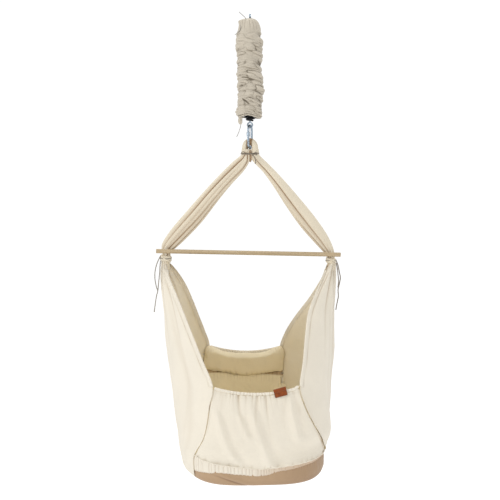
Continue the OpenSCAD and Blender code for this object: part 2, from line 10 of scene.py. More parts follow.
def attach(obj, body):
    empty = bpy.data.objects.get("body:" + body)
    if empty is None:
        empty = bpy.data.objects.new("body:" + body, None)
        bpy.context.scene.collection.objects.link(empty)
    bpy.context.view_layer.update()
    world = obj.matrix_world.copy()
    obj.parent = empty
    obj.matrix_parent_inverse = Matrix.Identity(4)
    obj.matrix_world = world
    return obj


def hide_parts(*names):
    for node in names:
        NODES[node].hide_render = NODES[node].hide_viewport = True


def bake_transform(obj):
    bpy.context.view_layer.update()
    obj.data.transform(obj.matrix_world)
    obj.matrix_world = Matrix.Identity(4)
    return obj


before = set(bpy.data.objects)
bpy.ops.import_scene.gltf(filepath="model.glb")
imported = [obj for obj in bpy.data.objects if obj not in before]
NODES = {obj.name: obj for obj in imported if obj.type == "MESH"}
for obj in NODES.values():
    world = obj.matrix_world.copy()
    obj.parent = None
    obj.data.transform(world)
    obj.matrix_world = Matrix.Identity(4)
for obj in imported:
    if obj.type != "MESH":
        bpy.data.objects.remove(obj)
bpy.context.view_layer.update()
MM = 0.001
scene = bpy.context.scene

# Lengths are in mm unless a name or comment says metres. The foot end faces the camera (-y), the head end is +y.

CAMERA_PLACE = (-0.1777, -3.178, -0.4914)  # metres
CAMERA_TURN, CAMERA_PITCH = math.radians(-3.2), math.radians(4.681)
CAMERA_LENS = 70.35
WORLD_FILL, WORLD_SEEN = 0.62, 1.05
FLOOR_Z, FLOOR_HALF = -2.2, 14.0  # metres
FLOOR_FILL, FLOOR_SEEN = 0.3, 0.5
# name, place, what it points at, size (all metres), power, colour
LIGHTS = [
    ("key", (-3.2, -1.7, 0.2), (0, 0, -1.0), (1.6, 2.2), 37, (1.0, 0.99, 0.975)),
    ("front", (0.2, -3.6, 0.9), (0, 0, -1.1), (1.8, 1.6), 16, (1.0, 0.985, 0.96)),
    ("fill", (2.8, -1.9, -0.2), (0, 0, -1.0), (1.8, 2.2), 10, (1.0, 0.98, 0.95)),
    ("top", (0.1, 0.5, 1.9), (0, 0, -1.2), (1.8, 1.8), 30, (1.0, 0.99, 0.97)),
]

# ---------------------------------------------------------------- camera, floor and light


def make_camera():
    data = bpy.data.cameras.new("camera")
    data.lens = CAMERA_LENS
    data.sensor_width = 36.0
    data.clip_end = 60.0
    cam = bpy.data.objects.new("camera", data)
    scene.collection.objects.link(cam)
    cam.location = CAMERA_PLACE
    level = math.cos(CAMERA_PITCH)
    look = Vector((-math.sin(CAMERA_TURN) * level, math.cos(CAMERA_TURN) * level, -math.sin(CAMERA_PITCH)))
    cam.rotation_mode = "QUATERNION"
    cam.rotation_quaternion = look.to_track_quat("-Z", "Y")
    scene.camera = cam


def area_light(name, place, aim, size, power, color):
    data = bpy.data.lights.new(name, "AREA")
    data.shape = "RECTANGLE"
    data.size, data.size_y = size
    data.energy = power
    data.color = color
    lamp = bpy.data.objects.new(name, data)
    lamp.location = place
    lamp.rotation_mode = "QUATERNION"
    lamp.rotation_quaternion = (Vector(aim) - Vector(place)).to_track_quat("-Z", "Y")
    scene.collection.objects.link(lamp)


def strength_by_ray(tree, fill, seen, socket):
    """A strength of fill as light on the object, and of seen where the camera looks straight at it."""
    path = tree.nodes.new("ShaderNodeLightPath")
    level = tree.nodes.new("ShaderNodeMapRange")
    level.inputs["To Min"].default_value = fill
    level.inputs["To Max"].default_value = seen
    tree.links.new(path.outputs["Is Camera Ray"], level.inputs["Value"])
    tree.links.new(level.outputs["Result"], socket)


def make_stage():
    world = bpy.data.worlds.new("studio")
    scene.world = world
    world.use_nodes = True
    tree = world.node_tree
    tree.nodes.clear()
    out = tree.nodes.new("ShaderNodeOutputWorld")
    back = tree.nodes.new("ShaderNodeBackground")
    back.inputs["Color"].default_value = (1.0, 1.0, 1.0, 1.0)
    strength_by_ray(tree, WORLD_FILL, WORLD_SEEN, back.inputs["Strength"])
    tree.links.new(back.outputs["Background"], out.inputs["Surface"])
    mesh = bpy.data.meshes.new("floor")
    corners = ((-1, -1), (1, -1), (1, 1), (-1, 1))
    mesh.from_pydata([(x * FLOOR_HALF, y * FLOOR_HALF, FLOOR_Z) for x, y in corners], [], [(0, 1, 2, 3)])
    floor = bpy.data.objects.new("floor", mesh)
    scene.collection.objects.link(floor)
    mat = bpy.data.materials.new("floor_white")
    mat.use_nodes = True
    bsdf = mat.node_tree.nodes["Principled BSDF"]
    bsdf.inputs["Base Color"].default_value = (0.9, 0.9, 0.9, 1)
    bsdf.inputs["Roughness"].default_value = 0.9
    bsdf.inputs["Emission Color"].default_value = (1, 1, 1, 1)
    strength_by_ray(mat.node_tree, FLOOR_FILL, FLOOR_SEEN, bsdf.inputs["Emission Strength"])
    floor.data.materials.append(mat)
    for light in LIGHTS:
        area_light(*light)


make_camera()
scene.view_settings.view_transform = "Standard"
make_stage()

# ---------------------------------------------------------------- small maths


def noise(x, y, seed):
    """Smooth value noise from -1 to 1 on a lattice of unit cells that repeats every 64."""
    tab = np.random.RandomState(seed).rand(64, 64) * 2 - 1
    x, y = np.broadcast_arrays(np.asarray(x, float), np.asarray(y, float))
    xi, yi = np.floor(x).astype(int), np.floor(y).astype(int)
    fx, fy = x - xi, y - yi
    fx, fy = fx * fx * (3 - 2 * fx), fy * fy * (3 - 2 * fy)
    a, b = tab[xi % 64, yi % 64], tab[(xi + 1) % 64, yi % 64]
    c, d = tab[xi % 64, (yi + 1) % 64], tab[(xi + 1) % 64, (yi + 1) % 64]
    return (a * (1 - fx) + b * fx) * (1 - fy) + (c * (1 - fx) + d * fx) * fy


def fbm(x, y, seed):
    """Three octaves of noise, each finer and lower than the last."""
    total, amp = 0.0, 1.0
    for k in range(3):
        total = total + amp * noise(np.asarray(x) * 2**k + 7 * k, np.asarray(y) * 2**k + 3 * k, seed + k)
        amp *= 0.5
    return total


def smoothstep(x, a, b):
    t = np.clip((np.asarray(x, float) - a) / (b - a), 0, 1)
    return t * t * (3 - 2 * t)


def bump(x, centre, width):
    return np.exp(-(((np.asarray(x, float) - centre) / width) ** 2))


def pleat(phase, sharp=0.75):
    """Round crests at 1 with narrow valleys down to 0, one every pi of phase."""
    return np.abs(np.sin(phase)) ** sharp


def catmull(keys, t):
    """Values at t (0 to len-1) on a smooth curve through the rows of keys."""
    keys = np.asarray(keys, float)
    t = np.clip(np.asarray(t, float), 0, len(keys) - 1 - 1e-9)
    i = np.floor(t).astype(int)
    f = (t - i)[:, None]
    last = len(keys) - 1
    p0, p1, p2, p3 = (keys[np.clip(i + k, 0, last)] for k in (-1, 0, 1, 2))
    return 0.5 * (2 * p1 + (p2 - p0) * f + (2 * p0 - 5 * p1 + 4 * p2 - p3) * f**2 + (3 * p1 - p0 - 3 * p2 + p3)
                  * f**3)


def unit(v):
    return v / np.maximum(np.linalg.norm(v, axis=-1, keepdims=True), 1e-12)


def grid_normals(g):
    """Normals of a grid of points."""
    return unit(np.cross(np.gradient(g, axis=0), np.gradient(g, axis=1)))


def circle(n):
    """n angles spaced evenly round a circle."""
    return np.linspace(0, 2 * np.pi, n, endpoint=False)


def distances(path):
    """How far along a path each of its points lies."""
    return np.concatenate([[0], np.cumsum(np.linalg.norm(np.diff(path, axis=0), axis=1))])


# ---------------------------------------------------------------- mesh helpers


def new_object(name, verts, faces, shade=None):
    mesh = bpy.data.meshes.new(name)
    mesh.from_pydata([tuple(v) for v in np.asarray(verts, float).reshape(-1, 3) * MM], [], faces)
    mesh.validate()
    mesh.polygons.foreach_set("use_smooth", [True] * len(mesh.polygons))
    if shade is not None:
        att = mesh.attributes.new("shade", "FLOAT", "POINT")
        att.data.foreach_set("value", np.asarray(shade, np.float32).ravel())
    obj = bpy.data.objects.new(name, mesh)
    scene.collection.objects.link(obj)
    return obj


def grid_faces(m, n, wrap=False, flip=False, base=0):
    i, j = np.meshgrid(np.arange(m - 1), np.arange(n if wrap else n - 1), indexing="ij")
    j2 = (j + 1) % n
    quads = np.stack([i * n + j, i * n + j2, (i + 1) * n + j2, (i + 1) * n + j], -1).reshape(-1, 4) + base
    if flip:
        quads = quads[:, ::-1]
    return quads.tolist()


def thick_sheet(name, g, shade, t, inward, tint=1.0):
    """A closed cloth of thickness t (mm) from a grid; the grid is its outer face."""
    m, n = g.shape[:2]
    nrm = grid_normals(g)
    if np.mean(np.sum(nrm * inward, -1)) < 0:
        nrm = -nrm
    back = g + nrm * t
    verts = np.concatenate([g.reshape(-1, 3), back.reshape(-1, 3)])
    q = m * n
    faces = grid_faces(m, n) + grid_faces(m, n, flip=True, base=q)
    top = list(range(n))
    low = [(m - 1) * n + j for j in range(n)]
    left = [i * n for i in range(m)]
    right = [i * n + n - 1 for i in range(m)]
    for line, turn in ((top, True), (low, False), (left, False), (right, True)):
        for a, b in zip(line[:-1], line[1:]):
            f = [a, b, b + q, a + q]
            faces.append(f[::-1] if turn else f)
    obj = new_object(name, verts, faces, np.concatenate([shade.ravel(), shade.ravel() * 0.6]))
    # the inner face is mixed towards the material's tint colour by tint: painted light, lighter and warmer, for light
    # that comes through the thin cloth and bounces inside the cradle
    tints = np.concatenate([np.zeros(q), (tint * np.ones((m, n))).ravel()])
    obj.data.attributes.new("tint", "FLOAT", "POINT").data.foreach_set("value", tints.astype(np.float32))
    fix_normals(obj)
    return obj


def fix_normals(obj):
    bm = bmesh.new()
    bm.from_mesh(obj.data)
    bmesh.ops.recalc_face_normals(bm, faces=bm.faces)
    bm.to_mesh(obj.data)
    bm.free()


def frames_along(path, ref):
    """Two directions across a path at each point; the first is square to ref."""
    tan = unit(np.gradient(path, axis=0))
    u = unit(np.cross(tan, np.asarray(ref, float)))
    return u, np.cross(tan, u)


def tube(name, rings, shade=None, closed=False):
    """A tube through rings (m, n, 3), capped at both ends or closed on itself."""
    rings = np.asarray(rings, float)
    m, n = rings.shape[:2]
    verts = rings.reshape(-1, 3)
    faces = grid_faces(m, n, wrap=True)
    if closed:
        faces += [[(m - 1) * n + j, (m - 1) * n + (j + 1) % n, (j + 1) % n, j] for j in range(n)]
    else:
        verts = np.concatenate([verts, rings[0].mean(0)[None], rings[-1].mean(0)[None]])
        a, b = m * n, m * n + 1
        faces += [[a, (j + 1) % n, j] for j in range(n)]
        faces += [[b, (m - 1) * n + j, (m - 1) * n + (j + 1) % n] for j in range(n)]
        if shade is not None:
            shade = np.concatenate([np.asarray(shade, float).ravel(), [0, 0]])
    obj = new_object(name, verts, faces, shade)
    fix_normals(obj)
    return obj


def cord_rings(path, r, sides=10, twist=0.0, ref=(0, 1, 0), strands=3):
    """Rings of a laid cord: its section has strands lobes that turn along its length."""
    path = np.asarray(path, float)
    u, w = frames_along(path, ref)
    run = distances(path)
    a = circle(sides)
    lobes = 1 + 0.10 * np.cos(strands * (a[None] - twist * run[:, None]))
    return path[:, None] + r * lobes[..., None] * (u[:, None] * np.cos(a)[None, :, None] + w[:, None]
                                                   * np.sin(a)[None, :, None])


def ring_of_cord(name, path, r, twist, ref, strands=3):
    """A cord whose last point joins its first."""
    loop = np.concatenate([path, path[:1]])
    rings = cord_rings(loop, r, sides=8, twist=twist, ref=ref, strands=strands)[:-1]
    return tube(name, rings, np.zeros(rings.shape[:2]), closed=True)


def smooth_route(points, per=8):
    points = np.asarray(points, float)
    return catmull(points, np.linspace(0, len(points) - 1, per * (len(points) - 1) + 1))


# ---------------------------------------------------------------- materials


class Nodes:
    """A material's node tree with short calls."""

    def __init__(self, name):
        self.mat = bpy.data.materials.new(name)
        self.mat.use_nodes = True
        self.tree = self.mat.node_tree
        self.bsdf = self.tree.nodes["Principled BSDF"]

    def add(self, kind, **values):
        node = self.tree.nodes.new(kind)
        for key, value in values.items():
            setattr(node, key, value)
        return node

    def link(self, a, b):
        self.tree.links.new(a, b)

    def math(self, op, a, b=None):
        node = self.add("ShaderNodeMath", operation=op)
        for k, v in ((0, a), (1, b)):
            if v is None:
                continue
            if isinstance(v, (int, float)):
                node.inputs[k].default_value = v
            else:
                self.link(v, node.inputs[k])
        return node.outputs[0]

    def noise(self, vector, scale, detail=3.0, rough=0.55):
        node = self.add("ShaderNodeTexNoise")
        node.inputs["Scale"].default_value = scale
        node.inputs["Detail"].default_value = detail
        node.inputs["Roughness"].default_value = rough
        self.link(vector, node.inputs["Vector"])
        return node.outputs["Fac"]

    def ramp(self, fac, stops):
        node = self.add("ShaderNodeValToRGB")
        node.color_ramp.elements[0].position = stops[0][0]
        node.color_ramp.elements[0].color = (*stops[0][1], 1)
        node.color_ramp.elements[1].position = stops[-1][0]
        node.color_ramp.elements[1].color = (*stops[-1][1], 1)
        for pos, col in stops[1:-1]:
            node.color_ramp.elements.new(pos).color = (*col, 1)
        self.link(fac, node.inputs["Fac"])
        return node.outputs["Color"]

    def mix(self, fac, a, b):
        node = self.add("ShaderNodeMix", data_type="RGBA")
        for key, v in (("Factor", fac), ("A", a), ("B", b)):
            socket = node.inputs[{"Factor": 0, "A": 6, "B": 7}[key]]
            if isinstance(v, (int, float)):
                socket.default_value = v
            elif isinstance(v, tuple):
                socket.default_value = (*v, 1)
            else:
                self.link(v, socket)
        return node.outputs[2]

    def scaled(self, scale):
        coord = self.add("ShaderNodeTexCoord")
        mapping = self.add("ShaderNodeMapping")
        mapping.inputs["Scale"].default_value = scale
        self.link(coord.outputs["Object"], mapping.inputs["Vector"])
        return mapping.outputs["Vector"]

    def bump(self, height, distance, strength, normal=None):
        node = self.add("ShaderNodeBump")
        node.inputs["Distance"].default_value = distance
        node.inputs["Strength"].default_value = strength
        self.link(height, node.inputs["Height"])
        if normal is not None:
            self.link(normal, node.inputs["Normal"])
        return node.outputs["Normal"]


def cloth_material(name, base, deep, weave_mm=1.3, sheen=0.2, rough=0.9, weave=0.16, crumple=0.22, mottle=0.05,
                   tint=None):
    """Plain-weave cotton: warp and weft, slubs, soft crumpling, and darker where shade says a fold is."""
    n = Nodes(name)
    coord = n.scaled((1, 1, 1))
    split = n.add("ShaderNodeSeparateXYZ")
    n.link(coord, split.inputs[0])
    waves = []
    for axis in range(3):
        waves.append(n.math("SINE", n.math("MULTIPLY", split.outputs[axis], 2 * math.pi / (weave_mm * MM))))
    pattern = n.math("ADD", n.math("MULTIPLY", waves[0], waves[2]), n.math("MULTIPLY", waves[1], waves[2]))
    pattern = n.math("ADD", pattern, n.math("MULTIPLY", waves[0], waves[1]))
    slub = n.noise(n.scaled((900, 900, 45)), 1.0, 2.0)
    weft = n.noise(n.scaled((45, 45, 900)), 1.0, 2.0)
    cloudy = n.noise(coord, 9.0, 4.0)
    fine = n.noise(coord, 70.0, 4.0)
    att = n.add("ShaderNodeAttribute", attribute_name="shade")
    fac = n.math("ADD", n.math("MULTIPLY", cloudy, 0.6), n.math("MULTIPLY", n.math("ADD", slub, weft), 0.2))
    lo = tuple(c * (1 - mottle) for c in base)
    hi = tuple(min(1.0, c * (1 + mottle * 0.6)) for c in base)
    color = n.ramp(fac, [(0.3, lo), (0.7, hi)])
    if tint:
        second = n.add("ShaderNodeAttribute", attribute_name="tint")
        color = n.mix(second.outputs["Fac"], color, tint)
    color = n.mix(n.math("MULTIPLY", att.outputs["Fac"], 0.9), color, deep)
    n.link(color, n.bsdf.inputs["Base Color"])
    n.bsdf.inputs["Roughness"].default_value = rough
    n.bsdf.inputs["Sheen Weight"].default_value = sheen
    n.bsdf.inputs["Sheen Roughness"].default_value = 0.5
    n.bsdf.inputs["Specular IOR Level"].default_value = 0.2
    soft = n.bump(n.noise(coord, 22.0, 3.0), 0.006, crumple)
    small = n.bump(fine, 0.0009, crumple * 0.6, soft)
    woven = n.math("ADD", pattern, n.math("MULTIPLY", n.math("ADD", slub, weft), 1.2))
    n.link(n.bump(woven, 0.0002, weave, small), n.bsdf.inputs["Normal"])
    return n.mat


def cord_material(name, base):
    n = Nodes(name)
    coord = n.scaled((1, 1, 1))
    fibre = n.noise(n.scaled((500, 500, 160)), 1.0, 3.0)
    att = n.add("ShaderNodeAttribute", attribute_name="shade")
    color = n.ramp(fibre, [(0.3, tuple(c * 0.86 for c in base)), (0.7, base)])
    color = n.mix(n.math("MULTIPLY", att.outputs["Fac"], 0.8), color, tuple(c * 0.5 for c in base))
    n.link(color, n.bsdf.inputs["Base Color"])
    n.bsdf.inputs["Roughness"].default_value = 0.9
    n.bsdf.inputs["Sheen Weight"].default_value = 0.3
    n.bsdf.inputs["Specular IOR Level"].default_value = 0.2
    n.link(n.bump(n.noise(coord, 600.0, 2.0), 0.0002, 0.3), n.bsdf.inputs["Normal"])
    return n.mat


def wood_material(name):
    n = Nodes(name)
    along = n.scaled((6, 160, 160))
    rings = n.noise(along, 1.0, 5.0, 0.6)
    pores = n.noise(n.scaled((60, 1500, 1500)), 1.0, 2.0)
    fac = n.math("ADD", n.math("MULTIPLY", rings, 0.75), n.math("MULTIPLY", pores, 0.25))
    color = n.ramp(fac, [(0.3, (0.36, 0.265, 0.15)), (0.5, (0.475, 0.365, 0.22)), (0.7, (0.55, 0.44, 0.285))])
    n.link(color, n.bsdf.inputs["Base Color"])
    n.bsdf.inputs["Roughness"].default_value = 0.5
    n.bsdf.inputs["Coat Weight"].default_value = 0.08
    n.link(n.bump(fac, 0.0004, 0.4), n.bsdf.inputs["Normal"])
    return n.mat


def metal_material(name, base, rough, wear=0.2):
    n = Nodes(name)
    coord = n.scaled((1, 1, 1))
    spots = n.noise(coord, 180.0, 5.0)
    color = n.ramp(spots, [(0.3, tuple(c * (1 - wear) for c in base)), (0.65, base)])
    n.link(color, n.bsdf.inputs["Base Color"])
    n.bsdf.inputs["Metallic"].default_value = 1.0
    r = n.math("ADD", n.math("MULTIPLY", n.noise(coord, 90.0, 3.0), 0.2), rough - 0.1)
    n.link(r, n.bsdf.inputs["Roughness"])
    n.link(n.bump(n.noise(coord, 1500.0, 2.0), 0.0001, 0.4), n.bsdf.inputs["Normal"])
    return n.mat


def leather_material(name):
    n = Nodes(name)
    coord = n.scaled((1, 1, 1))
    cells = n.add("ShaderNodeTexVoronoi", feature="DISTANCE_TO_EDGE")
    cells.inputs["Scale"].default_value = 900.0
    n.link(coord, cells.inputs["Vector"])
    worn = n.noise(coord, 120.0, 5.0)
    att = n.add("ShaderNodeAttribute", attribute_name="shade")
    color = n.ramp(worn, [(0.3, (0.16, 0.034, 0.006)), (0.55, (0.26, 0.058, 0.010)), (0.75, (0.36, 0.09, 0.018))])
    color = n.mix(att.outputs["Fac"], color, (0.1, 0.035, 0.015))
    n.link(color, n.bsdf.inputs["Base Color"])
    n.bsdf.inputs["Roughness"].default_value = 0.48
    n.bsdf.inputs["Specular IOR Level"].default_value = 0.25
    grain = n.bump(cells.outputs["Distance"], 0.0003, 0.5)
    n.link(n.bump(worn, 0.0008, 0.4, grain), n.bsdf.inputs["Normal"])
    return n.mat


# CREAM's tint colour is the painted light on the panels' inner faces
CREAM = cloth_material("cotton_cream", (0.83, 0.77, 0.655), (0.42, 0.31, 0.19), tint=(0.93, 0.855, 0.69))
# a darker, yellower copy of the cream cotton for the gathered sling, with browner creases: painted shade
CREAM_ARM_SHADED = cloth_material("cotton_cream_arms_shaded", (0.77, 0.69, 0.545), (0.30, 0.165, 0.07), weave=0.05, crumple=0.15)
BEIGE = cloth_material("cotton_lining", (0.85, 0.75, 0.54), (0.30, 0.17, 0.07), crumple=0.3)
LIGHT_BEIGE = cloth_material("cotton_lining_light", (0.90, 0.81, 0.60), (0.32, 0.19, 0.09), crumple=0.5)
GREY = cloth_material("cotton_cover", (0.575, 0.52, 0.43), (0.17, 0.14, 0.10), weave_mm=1.6, crumple=0.35)
TAN = cloth_material("cotton_tan", (0.465, 0.322, 0.20), (0.26, 0.16, 0.1), weave_mm=1.5)
BAND = cloth_material("cotton_gathered", (0.82, 0.76, 0.65), (0.36, 0.25, 0.15), tint=(0.60, 0.45, 0.32))
CORD = cord_material("cord_cotton", (0.76, 0.70, 0.58))
CORD_TIE = cord_material("cord_tie", (0.36, 0.33, 0.285))
CORD_DARK = cord_material("cord_tie_dark", (0.25, 0.21, 0.165))
CORD_GREY = cord_material("cord_grey", (0.30, 0.28, 0.25))
WOOD = wood_material("beech")
ZINC = metal_material("zinc", (0.40, 0.475, 0.55), 0.26)
BLACK = metal_material("black_steel", (0.03, 0.03, 0.033), 0.42, 0.4)
LEATHER = leather_material("leather_brown")
THREAD = cord_material("thread", (0.78, 0.73, 0.62))
THREAD_DARK = cord_material("thread_brown", (0.30, 0.15, 0.07))


def dress(obj, material, body, slot, *nodes):
    obj.data.materials.clear()
    obj.data.materials.append(material)
    if body:
        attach(obj, body)
    if nodes:
        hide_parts(*nodes)
    return obj


# ---------------------------------------------------------------- free cords (routes as in the CAD, mm)

ROUTES = {
    "cover_top_tail": ("spring_head", 1.0, [(-13, -17, -12), (-18, -19, -6), (-24, -21, -1), (-30, -23, 4),
                                            (-36, -25, 9)]),
    "cover_side_tail": ("spring_head", 1.0, [(-28, -14, -22), (-31, -18, -31), (-31, -24, -40), (-35, -25, -50),
                                             (-42, -24, -57),
                                             (-49, -22, -62)]),
    "cover_bottom_tail": ("spring_foot", 1.0, [(-31, -16, -346), (-32, -17, -354), (-35, -18, -364), (-39, -18, -375),
                                               (-44, -18, -385)]),
    "neck_tail": ("hammock", 1.65, [(4, -18.5, -438), (9, -20.5, -444), (14, -22, -452), (17, -22, -462),
                                    (16, -22, -472)]),
    "left_tie_long": ("hammock", 1.65, [(-291, -8, -769), (-297, -11, -780), (-304, -12, -797), (-309, -12, -818),
                                       (-310, -12, -838), (-308, -12, -857), (-304, -12, -874), (-301, -12, -883),
                                       (-304, -12, -895), (-307, -12, -910), (-310, -12, -930), (-313, -12, -952)]),
    "left_tie_short": ("hammock", 1.65, [(-291, -9, -785), (-293, -14, -800), (-294, -17, -820), (-296, -18, -840),
                                        (-298, -18, -858), (-300, -18, -880)]),
    "right_tie_long": ("hammock", 1.65, [(283, -9, -788), (287, -22, -803), (290, -32, -824), (293, -34, -841),
                                        (290, -34, -860), (286, -34, -878), (286, -34, -890), (287, -34, -901),
                                        (284, -34, -918), (281, -34, -933), (279, -34, -946)]),
    "right_tie_short": ("hammock", 1.65, [(282, -11, -795), (284, -26, -812), (285, -36, -832), (286, -41, -852),
                                         (284, -42, -872)]),
}


def make_cords():
    for name, (body, r, points) in ROUTES.items():
        path = smooth_route(points, 10)
        rings = cord_rings(path, r, sides=10, twist=0.9 / r)
        tips = np.linspace(0, 1, len(path))
        flare = 1 + 0.35 * smoothstep(tips, 0.96, 1.0)
        rings = path[:, None] + (rings - path[:, None]) * flare[:, None, None]
        obj = tube(name + "_cord", rings, np.zeros(rings.shape[:2]))
        # the ties at the right are given the darker cord as painted shade
        mat = CORD_GREY if name.startswith("cover") else CORD_TIE if name.startswith("left") else CORD_DARK
        dress(obj, mat, body, "cord", name)


make_cords()

# ---------------------------------------------------------------- the spring and its cover


def make_spring():
    turns, per = 44, 22
    steps = turns * per
    wire = 3.1
    z0, z1 = -335.0 + wire, -22.0 - wire
    k = np.arange(steps + 1)
    turn = k / per
    end = np.minimum(turn, turns - turn)
    r = 8.4 + (22 - 8.4) * np.clip(end / 3.3, 0, 1) ** 0.9
    a = 2 * np.pi * turn
    path = np.stack([r * np.cos(a), r * np.sin(a), z0 + (z1 - z0) * k / steps], -1)
    u, w = frames_along(path, (0, 0, 1))
    c = circle(10)
    rings = path[:, None] + wire * (u[:, None] * np.cos(c)[None, :, None] + w[:, None] * np.sin(c)[None, :, None])
    obj = tube("spring_coils", rings)
    dress(obj, BLACK, None, "dark_steel", "spring")
    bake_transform(obj)


def make_cover():
    rows, cols = 300, 192
    v = np.linspace(0, 1, rows)
    # outline from the top opening to the bottom hem: radius against height
    outline = [(7.5, -8.0), (14, -9.0), (21, -12.5), (27.5, -18.5), (32, -27), (35.5, -37), (37.5, -50), (38.8, -66),
               (39.5, -100),
               (38.6, -140), (39.6, -180), (39.4, -220), (39, -260), (39.6, -290), (39, -308), (36, -318)]
    key = np.asarray(outline)
    prof = catmull(key, np.linspace(0, len(key) - 1, 1200))
    run = distances(prof)
    at = np.interp(v * run[-1], run, np.arange(1200))
    r0 = np.interp(at, np.arange(1200), prof[:, 0])
    z0 = np.interp(at, np.arange(1200), prof[:, 1])
    a = circle(cols)
    R, A = np.meshgrid(r0, a, indexing="ij")
    Z = np.meshgrid(z0, a, indexing="ij")[0]
    ca, sa = np.cos(A), np.sin(A)
    # soft gathers: short billows that wander round the sleeve over a lumpy form
    body = smoothstep(-Z, 40, 66)
    strength = np.clip(0.85 + 0.75 * noise(2.1 * ca + 3, 2.1 * sa + Z / 19 + 31, 6), 0.2, 1.4)
    patch = bump(A, 1.32 * np.pi, 0.55) * bump(Z, -300, 15)
    strength = strength * (1 - 0.9 * patch)
    tilted = Z + 7 * ca
    one = noise(1.2 * ca + 3, tilted / 8.2 + 1.2 * sa + 40, 3)
    two = noise(1.9 * ca + 7, tilted / 4.4 + 1.7 * sa + 80, 4)
    lumps = noise(1.3 * ca + 2, 1.3 * sa + Z / 17 + 28, 11)
    disp = body * (4.4 * lumps + strength * (7.0 * (np.abs(one) - 0.28) + 3.2 * (np.abs(two) - 0.28)))
    disp += 3.4 * patch + 1.0 * noise(1.2 * ca + 2, 1.2 * sa + Z / 60 + 8, 9)
    # a deep slanting crease above the smooth patch
    slant = Z + 266 + 24.1 * (A - 4.07)
    reach = smoothstep(A, 3.9, 4.1) * (1 - smoothstep(A, 4.5, 4.75))
    crease = reach * bump(slant, 0, 2.6)
    disp += reach * (2.0 * bump(slant, 6, 4.0) + 2.4 * bump(slant, -7, 5.0)) - 4.0 * crease
    # the gathered crown: pleats that fan out from the drawstring
    crown = smoothstep(-Z, 8, 14) * (1 - smoothstep(-Z, 30, 62))
    disp += (10.0 * bump(A, np.pi + 0.2, 0.55) * bump(Z, -15, 10) - 3.0 * bump(A, 0.0, 0.8) * bump(Z, -24, 16)
             * smoothstep(-Z, 9, 15))
    fan = pleat(9 * A + 1.2 * noise(2 * ca, 2 * sa, 12) + 0.02 * Z, 0.7)
    disp += crown * 2.4 * (fan - 0.6)
    Rr = R + disp
    sway = 1.6 * np.sin(Z / 47.0) * body
    hem = smoothstep(-Z, 296, 318)
    arch = 6.0 * bump(A, 1.45 * np.pi, 0.6)
    Zr = Z + 0.8 * noise(3 * ca + 1, 3 * sa + Z / 10, 14) * body + hem * (arch - 2.0 * ca)
    g = np.stack([Rr * ca + sway - 2.0 * smoothstep(-Z, 9, 15), Rr * sa, Zr], -1)
    # painted shade in the billows' valleys, the lumps' hollows, the crown's pleats and the slanting crease
    dark = (body * strength * (0.72 * bump(one, 0, 0.10) + 0.45 * bump(two, 0, 0.11)) + 0.12 * body
            * np.clip(-lumps, 0, 1))
    dark += crown * np.clip(0.55 - fan, 0, 1) * 1.1 + 1.3 * crease
    # the cloth turns in at the bottom opening, and the turned-in rows are painted dark as shade
    low_in = g[-1] * [0.90, 0.90, 1] + [0, 0, 3.0]
    low_up = g[-1] * [0.86, 0.86, 1] + [0, 0, 14.0]
    g = np.concatenate([g, low_in[None], low_up[None]])
    dark = np.concatenate([dark, np.full((2, cols), 0.7)])
    obj = new_object("cover_sleeve", g, grid_faces(len(g), cols, wrap=True), dark)
    fix_normals(obj)
    solid(obj, 1.2)
    dress(obj, GREY, None, "cover_cloth", "spring_cover")
    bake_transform(obj)


def solid(obj, t):
    """Gives an open cloth its thickness, applied."""
    mod = obj.modifiers.new("thick", "SOLIDIFY")
    mod.thickness = t * MM
    mod.offset = -1.0
    mod.use_even_offset = False
    apply_modifiers(obj)


def apply_modifiers(obj):
    dg = bpy.context.evaluated_depsgraph_get()
    dg.update()
    mesh = bpy.data.meshes.new_from_object(obj.evaluated_get(dg), preserve_all_data_layers=True, depsgraph=dg)
    obj.modifiers.clear()
    old = obj.data
    obj.data = mesh
    bpy.data.meshes.remove(old)


